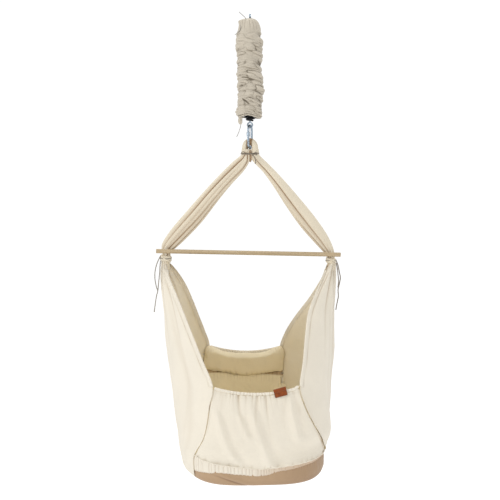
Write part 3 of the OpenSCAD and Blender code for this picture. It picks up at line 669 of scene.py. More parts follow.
def make_cover_trim():
    # drawstring round the crown's opening
    a = circle(48)
    path = np.stack([10.4 * np.cos(a), 10.4 * np.sin(a), -8.6 + 0.5 * np.sin(3 * a)], -1)
    obj = ring_of_cord("crown_drawstring", path, 1.0, 0.9, (0, 0, 1))
    dress(obj, CORD_GREY, "spring_head", "cord", "cover_top_tie")
    # bottom hem with its drawstring inside: a roll of cloth, gathered
    a = circle(180)
    r = 35.6 + 0.9 * np.sin(11 * a + 1) + 0.5 * np.sin(23 * a)
    rise = 6.0 * bump(a, 1.45 * np.pi, 0.6) - 2.0 * np.cos(a) + 0.4 * np.sin(17 * a)
    path = np.stack([r * np.cos(a) - 1.6, r * np.sin(a), -321.0 + rise], -1)
    out = unit(path * [1, 1, 0])
    c = circle(14)
    puff = (2.3 + 0.5 * np.abs(np.sin(26 * a)))[:, None, None]
    rings = (path[:, None] + puff * (out[:, None] * np.cos(c)[None, :, None] * 0.8 + np.array([0, 0, 1.0])
                                     * np.sin(c)[None, :, None]))
    dark = np.clip(0.5 - np.abs(np.sin(26 * a)), 0, 1)[:, None] * np.ones(14)[None]
    obj = tube("hem_bottom_cord", rings, dark, closed=True)
    dress(obj, GREY, "spring_foot", "cover_cloth", "cover_bottom_hem")
    # the loose end of the sleeve's cloth
    z = np.linspace(-322, -345.5, 30)
    t = np.linspace(0, 1, 30)
    c = circle(40)
    half = np.interp(t, [0, 0.3, 0.65, 0.9, 1], [6.0, 7.2, 7.4, 5.0, 2.4])
    deep = np.interp(t, [0, 0.5, 1], [4.0, 4.4, 2.0])
    fold = 1 - 0.28 * (1 - pleat(2.5 * c + 0.4, 0.7))[None] * (1 - 0.3 * t[:, None])
    rings = np.stack([-31 + (half[:, None] * fold) * np.cos(c)[None] - 1.2 * np.sin(3 * t)[:, None],
                      -16 + (deep[:, None] * fold) * np.sin(c)[None], np.repeat(z[:, None], 40, 1)], -1)
    obj = tube("cover_tongue_cloth", rings, np.clip(0.9 - fold, 0, 1) * 2.0)
    dress(obj, GREY, "spring_foot", "cover_cloth", "cover_tongue")
    # an eyelet where the top drawstring's second end comes out
    a = circle(32)
    centre = np.array([-28.2, -13.6, -21.4])
    across, up = unit(np.array([-0.45, 0.9, 0.0])), unit(np.array([0.5, 0.25, 0.8]))
    path = centre + 2.6 * (across * np.cos(a)[:, None] + up * np.sin(a)[:, None])
    obj = ring_of_cord("cover_eyelet", path, 0.7, 0, tuple(np.cross(across, up)), strands=1)
    dress(obj, THREAD, "spring_head", "cover_cloth")


make_spring()
make_cover_trim()
make_cover()

# ---------------------------------------------------------------- the gathered sling: loop, arms, knots

TURN = math.radians(-23)
TX = np.array([math.cos(TURN), math.sin(TURN), 0.0])
TY = np.array([-math.sin(TURN), math.cos(TURN), 0.0])
BOW_Z = -420.45


def gathered_tube(name, path, half, deep, ref, folds, seed, depth=0.3, cols=150, sharp=0.55, twist=0.5, deeper=None,
                  under=0.0,
                  creases=()):
    """A bundle of pleated cloth along a path: half and deep are its half sizes; folds is how many pleats go round it.

    creases are deep folds on the foot side: places along the path, places across (-1 to 1) and strengths.
    """
    u, w = frames_along(path, ref)
    m = len(path)
    t = np.linspace(0, 1, m)[:, None]
    a = circle(cols)[None]
    ca, sa = np.cos(a), np.sin(a)
    warp = a + 0.38 * np.sin(2 * a + seed) + 0.22 * np.sin(3 * a + 2 * t + 0.7 * seed) + twist * t
    warp = warp + 0.25 * noise(1.5 * ca + 3, 1.5 * sa + 2.2 * t + seed, seed)
    valley = pleat(folds * warp / 2, sharp)
    fade = 0.5 + 0.5 * noise(1.4 * ca + 1, 1.4 * sa + 3.0 * t + seed, seed + 2)
    small = pleat(folds * 1.35 * warp / 2 + 1.0 + 0.6 * noise(1.6 * ca, 1.6 * sa + 3 * t, seed + 3), 0.8)
    d = depth if deeper is None else depth * deeper[:, None]
    hidden = 1.0 if not creases else 0.25 + 0.75 * smoothstep(-sa, 0.0, 0.35)
    r = (1 - hidden * (d * (1 - valley) + 0.3 * d * fade * (1 - small)) + 0.04
         * noise(1.3 * ca, 1.3 * sa + 4 * t, seed + 5))
    # painted shade in the pleats' valleys
    dark = hidden * (np.clip(0.5 - valley, 0, 1) * 1.7 + 0.5 * fade * np.clip(0.3 - small, 0, 1))
    for places, across, strengths in creases:
        at = np.arccos(np.interp(t, places, across))
        k = np.interp(t, places, strengths) * smoothstep(t, places[0] - 0.04, places[0] + 0.02)
        k = k * (1 - smoothstep(t, places[-1] - 0.02, places[-1] + 0.06))
        off = (a - at + np.pi) % (2 * np.pi) - np.pi + 0.02 * np.sin(19 * t + seed)
        r = r - k * (0.26 * np.exp(-np.abs(off) / 0.11) - 0.07 * bump(off, 0.33, 0.2) - 0.05 * bump(off, -0.3, 0.2))
        # painted shade along each crease and in a softer band beside it
        dark = dark + k * (1.0 * bump(off, 0, 0.085) + 0.38 * bump(off, 0.12, 0.2))
    rings = (path[:, None] + (u[:, None] * (half[:, None] * r * ca)[..., None] + w[:, None]
                              * (deep[:, None] * r * sa)[..., None]))
    # the side of the bundle that faces down and inwards is in its own shade
    dark = dark + under * smoothstep(-rings[..., 2] + path[:, None, 2], 0.35 * deep.mean(), 1.1 * deep.mean())
    return tube(name, rings, np.clip(dark, 0, 1))


def make_loop():
    a = np.linspace(-0.08, np.pi + 0.08, 90)
    side = 16.6 * np.cos(a)
    up = BOW_Z + 20.2 * np.sin(a)
    legs = np.linspace(0, 1, 16)[:-1]
    z0 = up[0]
    left = np.stack([np.full(15, side[0]), z0 - 15 + 15 * legs], -1)
    right = np.stack([np.full(15, side[-1]), up[-1] - 15 * legs - 1], -1)
    line = np.concatenate([left, np.stack([side, up], -1), right])
    path = line[:, :1] * TX + np.array([0, 0, 1.0]) * line[:, 1:]
    m = len(path)
    t = np.linspace(-1, 1, m)
    half = 10.4 + 1.4 * bump(t, 0, 0.4)
    deep = np.interp(np.abs(t), [0, 0.22, 0.5, 0.8, 1], [7.4, 8.2, 11.6, 11.8, 11.2])
    obj = gathered_tube("loop_cloth", path, half, deep, tuple(TY), 8, 5, depth=0.2, twist=0.2)
    # painted shade: the cloth turns dark towards the slit where the carabiner passes
    co = np.array([v.co for v in obj.data.vertices], float) / MM
    slit = np.abs(co[:, :2] @ TX[:2])
    shade = np.array([d.value for d in obj.data.attributes["shade"].data])
    obj.data.attributes["shade"].data.foreach_set("value",
                                                  np.maximum(shade,
                                                             1 - smoothstep(slit, 7.5, 12.0)).astype(np.float32))
    dress(obj, CREAM_ARM_SHADED, "hammock", "sling_cloth", "fabric_loop")
    # folds of cloth that close the neck between the two arms, all painted dark as shade
    z = np.linspace(-427.5, -466, 24)
    core = np.stack([np.full(24, 1.0), np.zeros(24), z], -1)
    half = np.interp(z, [-466, -458, -448, -440, -430, -427.5], [2, 5, 9, 11, 10, 5])
    deep = np.interp(z, [-466, -456, -448, -438, -430, -427.5], [3, 6, 9, 11.5, 9.5, 5])
    obj = gathered_tube("neck_core", core, half, deep, (0, 1, 0), 7, 9, depth=0.25, cols=72, twist=0.1)
    obj.data.attributes["shade"].data.foreach_set("value", np.full(len(obj.data.vertices), 0.85, np.float32))
    dress(obj, CREAM_ARM_SHADED, "hammock", "sling_cloth")


def arm_path(stations):
    st = np.asarray(stations, float)
    t = np.linspace(0, len(st) - 1, 130)
    k = catmull(st, t)
    return np.stack([k[:, 0], np.zeros(len(k)), k[:, 1]], -1), k[:, 2], k[:, 3]


LEFT_ARM = [(-13.4, -424, 13.6, 11), (-14, -440, 15.2, 12.5), (-15.5, -449, 16.2, 13), (-22, -462, 19.5, 14),
            (-41, -483, 23.5, 15),
            (-79, -522, 24.5, 16), (-126, -575, 26.5, 17), (-179.5, -640, 29, 18), (-231.5, -697, 27, 16),
            (-266, -737, 21, 13),
            (-272, -756, 14, 12), (-273, -774, 12.2, 12.2), (-273, -800, 11.5, 11), (-274, -822, 9, 9),
            (-276, -846, 5, 6)]
RIGHT_ARM = [(14, -424, 13.6, 11), (15, -440, 14.6, 12.5), (17, -449, 14.4, 13), (29, -463, 14.4, 14),
             (53.5, -487, 15, 15),
             (92, -533, 19, 16), (135, -590, 24.3, 17), (185.5, -656, 27.5, 18), (229, -711, 24.2, 16),
             (254, -747, 18.5, 13),
             (264, -768, 14, 12), (266, -782, 12.2, 12.2), (266, -806, 11.5, 11), (267, -828, 9, 9),
             (268, -850, 5, 6)]
# Deep creases on the foot side: places along the arm, places across it and strengths
LEFT_CREASES = (((0.06, 0.12, 0.26, 0.42, 0.62, 0.74), (-0.1, -0.26, -0.44, -0.54, -0.58, -0.6),
                 (0.8, 1, 1, 0.75, 0.4, 0.2)),
                ((0.06, 0.12, 0.2, 0.27, 0.42, 0.55, 0.66, 0.78), (0.3, 0.47, 0.66, 0.67, 0.52, 0.4, 0.34, 0.28),
                 (0.8, 1, 1, 0.6, 0.35, 0.7, 1, 0.9)),
                ((0.42, 0.6, 0.76), (0.86, 0.84, 0.8), (0.4, 0.8, 0.7)),
                ((0.25, 0.5, 0.7), (0.12, 0.02, -0.1), (0.12, 0.3, 0.2)))
RIGHT_CREASES = (((0.16, 0.26, 0.38, 0.5, 0.62, 0.76), (-0.12, -0.42, -0.32, -0.2, -0.24, -0.3),
                  (0.5, 0.9, 0.8, 0.65, 0.55, 0.6)),
                 ((0.03, 0.08, 0.14), (-0.5, -0.6, -0.75), (0.9, 0.8, 0.4)),
                 ((0.5, 0.64, 0.8), (-0.86, -0.78, -0.66), (0.35, 0.6, 1.0)),
                 ((0.6, 0.72, 0.8), (0.25, 0.1, -0.1), (0.1, 0.3, 0.5)))


def make_arms():
    for name, stations, seed, folds, creases in (("left_arm", LEFT_ARM, 2, 8, LEFT_CREASES),
                                                 ("right_arm", RIGHT_ARM, 7, 7, RIGHT_CREASES)):
        path, half, deep = arm_path(stations)
        t = np.linspace(0, 1, len(path))
        deeper = 0.8 + 0.45 * np.abs(2 * t - 1)
        obj = gathered_tube(name + "_cloth", path, half * 1.04, deep, (0, 1, 0), folds, seed, depth=0.28, twist=0.5,
                            deeper=deeper,
                            under=0.1, creases=creases, cols=220)
        dress(obj, CREAM_ARM_SHADED, "hammock", "sling_cloth", name)


def wrap_cord(name, centre, rx, ry, z_top, z_low, turns, r, seed, body, slot, *nodes, mat=None, strands=3):
    """Turns of cord round a neck, each lying a little unevenly, with optional extra strands."""
    n = int(60 * turns)
    t = np.linspace(0, 1, n)
    a = 2 * np.pi * turns * t + 0.6
    wob = 0.5 * np.sin(2.3 * a + seed) + 0.35 * np.sin(0.7 * a + 2 * seed)
    z = z_top + (z_low - z_top) * t + 0.9 * np.sin(a + seed) * (1 if turns > 1 else 0)
    path = np.stack([centre[0] + (rx + wob * 0.6) * np.cos(a), centre[1] + (ry + wob * 0.6) * np.sin(a), z], -1)
    rings = cord_rings(path, r, sides=14, twist=0.2 / r if strands == 3 else 0.0, ref=(0, 0, 1), strands=strands)
    rings[..., 2] = path[:, None, 2] + (rings[..., 2] - path[:, None, 2]) * (1.0 if strands == 3 else 1.25)
    obj = tube(name, rings, np.zeros(rings.shape[:2]))
    return dress(obj, mat or CORD, body, slot, *nodes)


def cord_piece(name, points, r, body, mat, nodes=(), ref=(0, 1, 0)):
    rings = cord_rings(smooth_route(points, 10), r, twist=0.8 / r, ref=ref)
    obj = tube(name, rings, np.zeros(rings.shape[:2]))
    return dress(obj, mat, body, "cord", *nodes)


def make_knots():
    wrap_cord("neck_wraps", (0, 0), 29.2, 16.0, -435.8, -440.6, 2.2, 1.25, 1, "hammock", "cord", "neck_tie",
              mat=CORD_DARK)
    # the small bow of the neck tie
    cord_piece("neck_bow_left", [(-16, -15.5, -437), (-21, -19, -433), (-27, -19.5, -434), (-28.5, -18.5, -438.5),
                                 (-24, -18.5, -441),
                                 (-17, -16, -439.5)], 1.2, "hammock", CORD_DARK)
    cord_piece("neck_bow_right", [(12, -17, -437.5), (17, -19, -434.5), (22.5, -19, -436.5), (22, -18.5, -441),
                                  (17, -18, -441.5),
                                  (12, -17, -439.5)], 1.2, "hammock", CORD_DARK)
    wrap_cord("left_knot_wraps", (-274.5, 0), 15.4, 14.4, -767.8, -787.5, 2.3, 4.0, 2, "hammock", "cord",
              "left_knot", mat=CREAM_ARM_SHADED,
              strands=5)
    wrap_cord("right_knot_wraps", (266.5, 0), 13.8, 13.8, -779.5, -792.5, 1.7, 3.8, 5, "hammock", "cord",
              "right_knot", mat=CREAM_ARM_SHADED,
              strands=5)
    # the cords' own last turn over the wraps
    wrap_cord("left_knot_turn", (-274.5, 0), 19.2, 18.2, -775.5, -778.5, 1.15, 1.3, 7, "hammock", "cord",
              mat=CORD_TIE)
    wrap_cord("right_knot_turn", (266.5, 0), 17.4, 17.4, -786.0, -787.5, 1.15, 1.2, 8, "hammock", "cord",
              mat=CORD_TIE)
    # the knots themselves: a strand over and under the wraps at the front
    cord_piece("left_knot_cross", [(-284, -13, -771), (-281, -17.5, -776), (-274, -18.8, -781), (-266, -17.8, -784),
                                   (-261, -14, -789),
                                   (-264, -12.5, -792)], 2.4, "hammock", CREAM_ARM_SHADED)
    cord_piece("right_knot_cross", [(256, -13, -793), (260, -17, -789), (267, -18.6, -787), (274, -17.4, -784),
                                    (279, -13, -782)],
               2.2, "hammock", CREAM_ARM_SHADED)
    for name, x, top in (("left_bar_lashing", -273, -746.27), ("right_bar_lashing", 266, -759.3)):
        k = -778 if x < 0 else -786
        cord_piece(name + "_cord", [(x, -19, k + 11), (x, -20, top - 11), (x, -20, top - 4), (x, -20, top + 1.5),
                                    (x, -18, top + 4),
                                    (x, -15, top + 5)], 1.6, "hammock", CORD, nodes=(name,), ref=(1, 0, 0))


make_loop()
make_arms()
make_knots()

# ---------------------------------------------------------------- the cradle's panels

# Side panels, top to bottom: foot-end edge, head-end edge, middle, and how square the row is in plan
LEFT_ROWS = [((-276, -12, -786), (-264, 12, -786), (-288, 0, -786), 2),
             ((-266, -46, -832), (-233, 46, -832), (-291, 0, -838), 2),
             ((-243, -92, -878), (-210, 92, -878), (-288, 0, -890), 2),
             ((-217, -148, -934), (-189, 148, -934), (-281.5, 0, -955), 2),
             ((-188, -212, -998), (-168, 212, -998), (-278.5, 0, -1030), 2),
             ((-159, -277, -1062), (-147, 277, -1062), (-270, 0, -1100), 2),
             ((-130, -342, -1128), (-130, 342, -1126), (-261, 0, -1165), 2.2),
             ((-140, -345, -1186), (-142, 345, -1184), (-252.5, 0, -1225), 2.4),
             ((-149, -340, -1246), (-152, 340, -1240), (-246, 0, -1280), 2.7),
             ((-161, -328, -1292), (-163, 328, -1290), (-238.5, 0, -1325), 3),
             ((-185, -303, -1342), (-185, 303, -1342), (-234, 0, -1367), 3.4),
             ((-188, -301, -1374), (-190, 301, -1374), (-229, 0, -1400), 3.5),
             ((-185, -300, -1409), (-188, 300, -1409), (-225.5, 0, -1413), 3.5)]
RIGHT_ROWS = [((262, -12, -790), (258, 12, -790), (281, 0, -790), 2),
              ((236, -46, -836), (249, 46, -836), (281.5, 0, -842), 2),
              ((207, -92, -881), (234, 92, -881), (280, 0, -894), 2),
              ((177, -148, -936), (209, 148, -936), (278, 0, -955), 2),
              ((160, -212, -1000), (174, 212, -1000), (277, 0, -1030), 2),
              ((147, -277, -1064), (146, 277, -1064), (275, 0, -1100), 2),
              ((130, -342, -1130), (130, 342, -1133), (268, 0, -1165), 2.2),
              ((145, -343.5, -1185), (132, 345, -1187), (264.5, 0, -1225), 2.4),
              ((169, -338, -1235), (135, 341, -1238), (259, 0, -1280), 2.7),
              ((197, -321, -1285), (152, 330, -1286), (249, 0, -1325), 3),
              ((217, -246, -1335), (202, 290, -1340), (238, 0, -1366), 3.4),
              ((222, -240, -1341), (220, 243, -1366), (233.5, 0, -1402), 3.5)]
# End panels, top to bottom: left edge, right edge, how far the middle bulges and how far it sags
FOOT_ROWS = [((-126.5, -342, -1137.5), (126.5, -342, -1139), 6, 17.5),
             ((-136, -345, -1186), (141, -343.5, -1187), 13, 20),
             ((-145, -340, -1246), (165, -338, -1238), 27, 20), ((-157, -328, -1292), (192, -321, -1286), 49, 17),
             ((-171, -314, -1320), (211, -254, -1330), 85, 14), ((-181, -303.5, -1340), (213, -241, -1364), 80, 11)]
HEAD_ROWS = [((-126.5, -342, -1135.5), (126.5, -342, -1141), 6, 20),
             ((-138, -345, -1184), (127.5, -345, -1187), 10, 20),
             ((-147, -340, -1240), (129, -341, -1238), 22, 20), ((-158, -328, -1290), (144, -330, -1286), 42, 17),
             ((-171, -314, -1320), (186, -302, -1322), 72, 14), ((-181, -303.5, -1340), (205, -262, -1362), 80, 11)]
END_DOWN = [0, 50, 107, 155, 188, 212]


def side_surface(rows, t, s):
    """Points of a side panel: t is 0 at the knot and grows to the base, s is -1 at the foot and 1 at the head."""
    keys = np.array([[*f, *b, *m, p] for f, b, m, p in rows], float)
    k = catmull(keys, t)
    F, B, M, p = k[:, None, 0:3], k[:, None, 3:6], k[:, None, 6:9], k[:, None, 9]
    E = np.where(s[None, :, None] < 0, F, B)
    u = np.abs(s)[None]
    x = M[..., 0] + (E[..., 0] - M[..., 0]) * u**p
    y = E[..., 1] * u
    z = M[..., 2] + (E[..., 2] - M[..., 2]) * u * u
    return np.stack([x, y, z], -1)


HEM_WIDTH = 16.0


def side_folds(t, s, seed, lively):
    """Height of the folds over a side panel, in mm, and where they are dark. Pleats fan out from the knot."""
    T, S = np.meshgrid(t, s, indexing="ij")
    warp = S + 0.10 * np.sin(3.1 * S + seed) + 0.05 * noise(2.5 * S + 9, T * 0.5, seed)
    gather = pleat(7.5 * warp + 0.6 * seed, 0.7)
    near = np.exp(-((T / 1.7) ** 1.4))
    mid = np.exp(-(((T - 1.6) / 2.3) ** 2))
    far = smoothstep(T, 1.0, 4.0) * (1 - 0.75 * smoothstep(T, 8.5, 11))
    long_a = pleat(2.9 * warp + 0.4 * seed + 0.10 * T, 0.9)
    long_b = pleat(4.9 * warp + 1.1 * seed - 0.06 * T, 0.85)
    soft = noise(3.2 * S + 4, T * 0.45 + 2, seed + 3)
    h = near * 7.5 * (gather - 0.6) + mid * lively * 4.0 * (gather - 0.6)
    h += far * lively * (3.2 * (long_a - 0.62) + 2.4 * (long_b - 0.6)) + far * 3.0 * soft * lively
    h += 0.5 * fbm(S * 9, T * 2.2, seed + 6) * lively
    h -= 0.9 * smoothstep(T, 0.5, 2.0)
    edge = smoothstep(np.abs(S), 0.90, 1.0) * smoothstep(T, 1.5, 3.0)
    h *= 1 - 0.85 * edge
    dark = near * np.clip(0.65 - gather, 0, 1) * 1.1 + mid * lively * np.clip(0.45 - gather, 0, 1) * 0.6
    dark += far * lively * (np.clip(0.35 - long_a, 0, 1) * 0.35 + np.clip(0.3 - long_b, 0, 1) * 0.25)
    return h, np.clip(dark, 0, 1)


def strip_along(name, edge, inside, normal, width, thick, mat, slot):
    """A folded hem: a flat rounded strip that lies on the cloth along its edge."""
    prof = [(0.0, -0.5), (0.02, 0.5), (0.10, 0.62), (0.5, 0.55), (0.9, 0.6), (0.98, 0.5), (1.0, -0.5), (0.9, -0.6),
            (0.5, -0.55),
            (0.1, -0.62)]
    rings = np.stack([edge + inside * (a * width - 1.0) + normal * (b * thick) for a, b in prof], 1)
    obj = tube(name, rings, np.zeros(rings.shape[:2]))
    return dress(obj, mat, "hammock", slot)


def stitches(name, path, normal, pitch, length, r, mat, slot, lift=0.4):
    """A row of thread stitches along a line on a surface."""
    run = distances(path)
    count = int(run[-1] / pitch)
    verts, faces = [], []
    a = circle(6)
    for k in range(count):
        s = (k + 0.5) * pitch + np.array([-0.5, -0.3, 0.3, 0.5]) * length
        c = np.stack([np.interp(s, run, path[:, j]) for j in range(3)], -1)
        nn = unit(np.stack([np.interp(s, run, normal[:, j]) for j in range(3)], -1))
        c = c + nn * np.array([-0.1, 1, 1, -0.1])[:, None] * lift
        d = unit(c[-1] - c[0])
        side = unit(np.cross(d, nn[1]))
        base = len(verts)
        for i, rr in enumerate((0.6, 1, 1, 0.6)):
            for x in a:
                verts.append(c[i] + r * rr * (side * math.cos(x) + nn[1] * math.sin(x)))
        for i in range(3):
            for j in range(6):
                j2 = (j + 1) % 6
                faces.append([base + i * 6 + j, base + i * 6 + j2, base + (i + 1) * 6 + j2, base + (i + 1) * 6 + j])
        faces.append([base + j for j in range(5, -1, -1)])
        faces.append([base + 18 + j for j in range(6)])
    obj = new_object(name, np.array(verts), faces)
    return dress(obj, mat, "hammock", slot)


def make_side(name, rows, inward, seed, lively):
    last = len(rows) - 1
    t = np.linspace(0, last, 210)
    s = np.linspace(-1, 1, 171)
    base = side_surface(rows, t, s)
    nrm = grid_normals(base)
    if np.mean(nrm[..., 0]) * inward > 0:
        nrm = -nrm
    h, dark = side_folds(t, s, seed, lively)
    T = t[:, None]
    bundle = np.exp(-((T / 0.8) ** 1.5))
    zig = pleat(4.5 * (s[None] + 1.0) + 0.3, 0.9)
    h = h * (1 - 0.6 * bundle) - bundle * 17 * (1 - zig)
    g = base + nrm * h[..., None] + nrm * -0.4
    # painted shade in the bundle's valleys by the knot
    dark = np.clip(dark + bundle * (1 - zig) * 0.9, 0, 1)
    # the cloth dips and shades along the hems' inner borders
    step = np.linalg.norm(np.diff(g, axis=1), axis=-1)
    from_front = np.concatenate([np.zeros((len(t), 1)), np.cumsum(step, axis=1)], 1)
    from_back = from_front[:, -1:] - from_front
    hemmed = smoothstep(T, 0.6, 1.0) * (1 - smoothstep(T, 5.9, 6.1))
    inner = np.minimum(from_front, from_back) - HEM_WIDTH
    g = g - nrm * (hemmed * 1.0 * bump(inner, 1.5, 3.0))[..., None]
    dark = np.clip(dark + hemmed * 0.75 * bump(inner, 0.8, 1.7), 0, 1)
    # the inner face takes more of the painted light further down into the cradle
    cloth = thick_sheet(name + "_cloth", g, dark, 1.1, inward=np.array([inward, 0, 0.0]),
                        tint=0.25 + 0.75 * smoothstep(T, 0.5, 5.0))
    dress(cloth, CREAM, "hammock", "sling_cloth", name)
    for end, j, k in (("front", 0, 3), ("back", len(s) - 1, len(s) - 4)):
        rows_at = np.where((t > 0.55) & (t < 6.05))[0]
        edge = g[rows_at, j]
        inside = unit(g[rows_at, k] - edge)
        n = unit(nrm[rows_at, j])
        strip_along(f"{name}_hem_{end}", edge, inside, n, HEM_WIDTH, 3.6, CREAM, "sling_cloth")
        line = edge + inside * (HEM_WIDTH - 4.0)
        stitches(f"{name}_stitch_{end}", line + n * 2.1, n, 4.2, 2.9, 0.32, THREAD, "sling_cloth")
    return g, nrm


def seam_curve(x):
    """How far out the base's edge lies, in y, at each x."""
    return 377.8 * np.clip(1 - np.clip(np.abs(x - 5) / 223.3, 0, 0.999) ** 3.5, 1e-6, 1) ** (1 / 3.5)


def foot_seam(f):
    """Height of the foot panel's lower edge, from the left (f = 0) to the right (f = 1)."""
    return np.interp(f, [0, 0.05, 0.15, 0.29, 0.43, 0.5, 0.57, 0.635, 0.815, 0.936, 1],
                     [-1345, -1350, -1355, -1360.5, -1365.5, -1367, -1365.5, -1362.5, -1356, -1353.5, -1352])


def end_at(t, s, sign=1):
    """Points of an end panel for arrays t and s; beyond an edge the cloth laps inwards behind the side panel."""
    rows = FOOT_ROWS if sign > 0 else HEAD_ROWS
    keys = np.array([[*a, *b, c, d] for a, b, c, d in rows], float)
    t, s = np.broadcast_arrays(np.asarray(t, float), np.asarray(s, float))
    k = catmull(keys, np.clip(t, 0, len(rows) - 1).ravel()).reshape(t.shape + (8,))
    L, R, out, sag = k[..., 0:3], k[..., 3:6], k[..., 6], k[..., 7]
    q = np.clip(s, -1, 1)
    f = ((q + 1) / 2)[..., None]
    g = L * (1 - f) + R * f
    g[..., 1] -= out * (1 - np.abs(q) ** 2.6)
    bend = np.clip(t - 3, 0, 2) / 2
    g[..., 1] = g[..., 1] * (1 - bend) - seam_curve(g[..., 0]) * bend
    g[..., 2] -= sag * (1 - q * q)
    if sign > 0:
        k = np.clip((g[..., 0] + 181) / 394, 0, 1)
        straight = -1340 - 24 * k - 11 * (1 - (2 * k - 1) ** 2)
        g[..., 2] += (foot_seam(k) - straight) * smoothstep(t, 3.2, 5.0)
    past = np.clip(np.abs(s) - 1, 0, None) / 0.035
    g[..., 0] += np.sign(s) * (1.4 + 3.4 * np.exp(-t / 0.4) if sign > 0 else 6.0) * past
    g[..., 1] += 4.0 * past
    g[..., 1] *= sign
    return g


def end_surface(t, s, sign=1):
    return end_at(t[:, None], s[None], sign)


def ridge(T, S, start, end, width, height):
    """A soft drape fold from one (s, t) place on the panel to another."""
    k = (T - start[1]) / (end[1] - start[1])
    line = start[0] + (end[0] - start[0]) * np.clip(k, 0, 1)
    strength = smoothstep(k, -0.08, 0.15) * (1 - smoothstep(k, 0.8, 1.1))
    return height * strength * (bump(S, line, width) - 0.45 * bump(S, line + 1.6 * width, width))


def make_end(name, sign, mat, seed):
    t = np.linspace(0, 5, 150)
    s = np.linspace(-1.035, 1.035, 241)
    g = end_surface(t, s, sign)
    nrm = grid_normals(g)
    if np.mean(nrm[..., 1]) * sign > 0:
        nrm = -nrm
    T, S = np.meshgrid(t, s, indexing="ij")
    down = np.interp(T, range(6), END_DOWN)
    width = 0.35 + 0.65 * (smoothstep(S, -0.75, -0.5) - smoothstep(S, 0.35, 0.6))
    fine = pleat(26 * S + 1.6 * noise(S * 6, T * 0.6, seed) + 0.5, 0.8)
    coarse = pleat(9.5 * S + 1.4 * noise(S * 3, T * 0.5, seed + 1) + 0.8, 0.9)
    top = np.exp(-down / 17.0)
    mid = np.exp(-((down / 62.0) ** 1.3))
    h = width * (top * 4.2 * (fine - 0.6) + mid * 6.0 * (coarse - 0.62))
    h += smoothstep(down, 20, 90) * 3.2 * noise(S * 2.6 + 3 + 0.25 * T, T * 0.55 + 5, seed + 2)
    h += smoothstep(down, 30, 120) * 1.8 * (pleat(4.2 * S + 0.35 * T + 0.4, 0.9) - 0.6)
    h += ridge(T, S, (-0.87, 1.07), (-0.35, 4.8), 0.085, 8.0) + ridge(T, S, (-0.40, 1.07), (-0.24, 2.4), 0.07, 6.5)
    h += ridge(T, S, (-0.12, 0.6), (0.115, 5.0), 0.085, 8.5) + ridge(T, S, (0.75, 0.47), (0.62, 3.0), 0.075, 8.0)
    low = smoothstep(down, 196, 212)
    low_pleat = pleat(23 * S + 1.4 * noise(S * 5, 3.0, seed + 4), 0.85)
    h += low * 2.2 * (low_pleat - 0.6)
    h += 0.35 * fbm(S * 14, T * 5, seed + 7)
    h *= 1 - smoothstep(np.abs(S), 0.97, 1.0)
    if sign > 0:
        g[..., 2] += 3.5 * bump(S, 0.955, 0.035) * np.exp(-T / 0.25)
    g = g + nrm * (h - 0.3)[..., None]
    # painted shade in the gathers' valleys
    dark = (width * (top * np.clip(0.6 - fine, 0, 1) * 1.0 + mid * np.clip(0.5 - coarse, 0, 1) * 0.8) + low
            * np.clip(0.55 - low_pleat, 0, 1) * 0.6)
    # painted shade in a strip down the right edge, part way down, where the seam stands slightly open
    dark = np.clip(dark + smoothstep(S, 0.955, 0.985) * bump(T, 3.7, 0.8) * 0.8, 0, 1)
    cloth = thick_sheet(name + "_cloth", g, dark, 1.1, inward=np.array([0, sign, 0.0]))
    dress(cloth, mat, "hammock", "sling_cloth", name)
    # the elastic's casing along the top edge, gathered
    q = np.linspace(-0.985, 0.985, 420)
    edge = end_surface(np.zeros(1), q, sign)[0] + [0, sign * 1.5, 4.9]
    if sign > 0:
        edge[:, 2] += 3.5 * bump(q, 0.955, 0.035)
    edge[:, 1] += sign * 0.4 * np.sin(40 * q)
    puff = 0.35 + 0.65 * (smoothstep(q, -0.75, -0.5) - smoothstep(q, 0.35, 0.6))
    ruck = pleat(26 * 1.6 * q + 1.2 * noise(q * 9, 0.0, seed + 9), 0.7)
    u, w = frames_along(edge, (0, 0, 1))
    c = circle(18)
    hh = (4.6 + 0.9 * puff * (ruck - 0.5))[:, None]
    tt = (2.6 + 1.5 * puff * (ruck - 0.3))[:, None]
    rings = (edge[:, None] + u[:, None] * (tt * np.cos(c)[None])[..., None] + w[:, None]
             * (hh * np.sin(c)[None])[..., None])
    shade = (puff * np.clip(0.6 - ruck, 0, 1) * 0.9)[:, None] * np.ones(18)[None]
    hem = tube(name.split("_")[0] + "_hem_casing", rings, shade)
    dress(hem, mat, "hammock", "sling_cloth" if sign > 0 else "lining_cloth", name.split("_")[0] + "_hem")
    mid = slice(10, -10)
    thread = stitches(name + "_stitch", g[6, mid] + nrm[6, mid] * 0.3, nrm[6, mid], 4.2, 2.9, 0.3, THREAD,
                      "sling_cloth")
    return g, nrm


# ---------------------------------------------------------------- base, mattress and pads

BASE_X = 5.0


def oval(a, b, power, angles):
    c, s = np.cos(angles), np.sin(angles)
    return np.stack([BASE_X + a * np.sign(c) * np.abs(c) ** (2 / power), b * np.sign(s) * np.abs(s) ** (2 / power)],
                    -1)


def even_oval(a, b, power, count):
    """Points spaced evenly round the base's outline, and their outward normals."""
    dense = oval(a, b, power, np.linspace(0, 2 * np.pi, 4001))
    run = distances(dense)
    at = np.linspace(0, run[-1], count, endpoint=False)
    p = np.stack([np.interp(at, run, dense[:, k]) for k in range(2)], -1)
    d = np.roll(p, -1, 0) - np.roll(p, 1, 0)
    n = unit(np.stack([d[:, 1], -d[:, 0]], -1))
    return p, n, at


def seam_z(x, y):
    """Height of the seam round the base: it follows the end panels' lower edges and is level along the sides."""
    f = np.clip((x + 181) / 394, 0, 1)
    at_end = np.where(y < 0, foot_seam(f), -1340 - 26 * f - 11 * (1 - (2 * f - 1) ** 2))
    w = smoothstep(np.abs(y), 180, 300)
    return -1367 + (at_end + 1367) * w, f, w


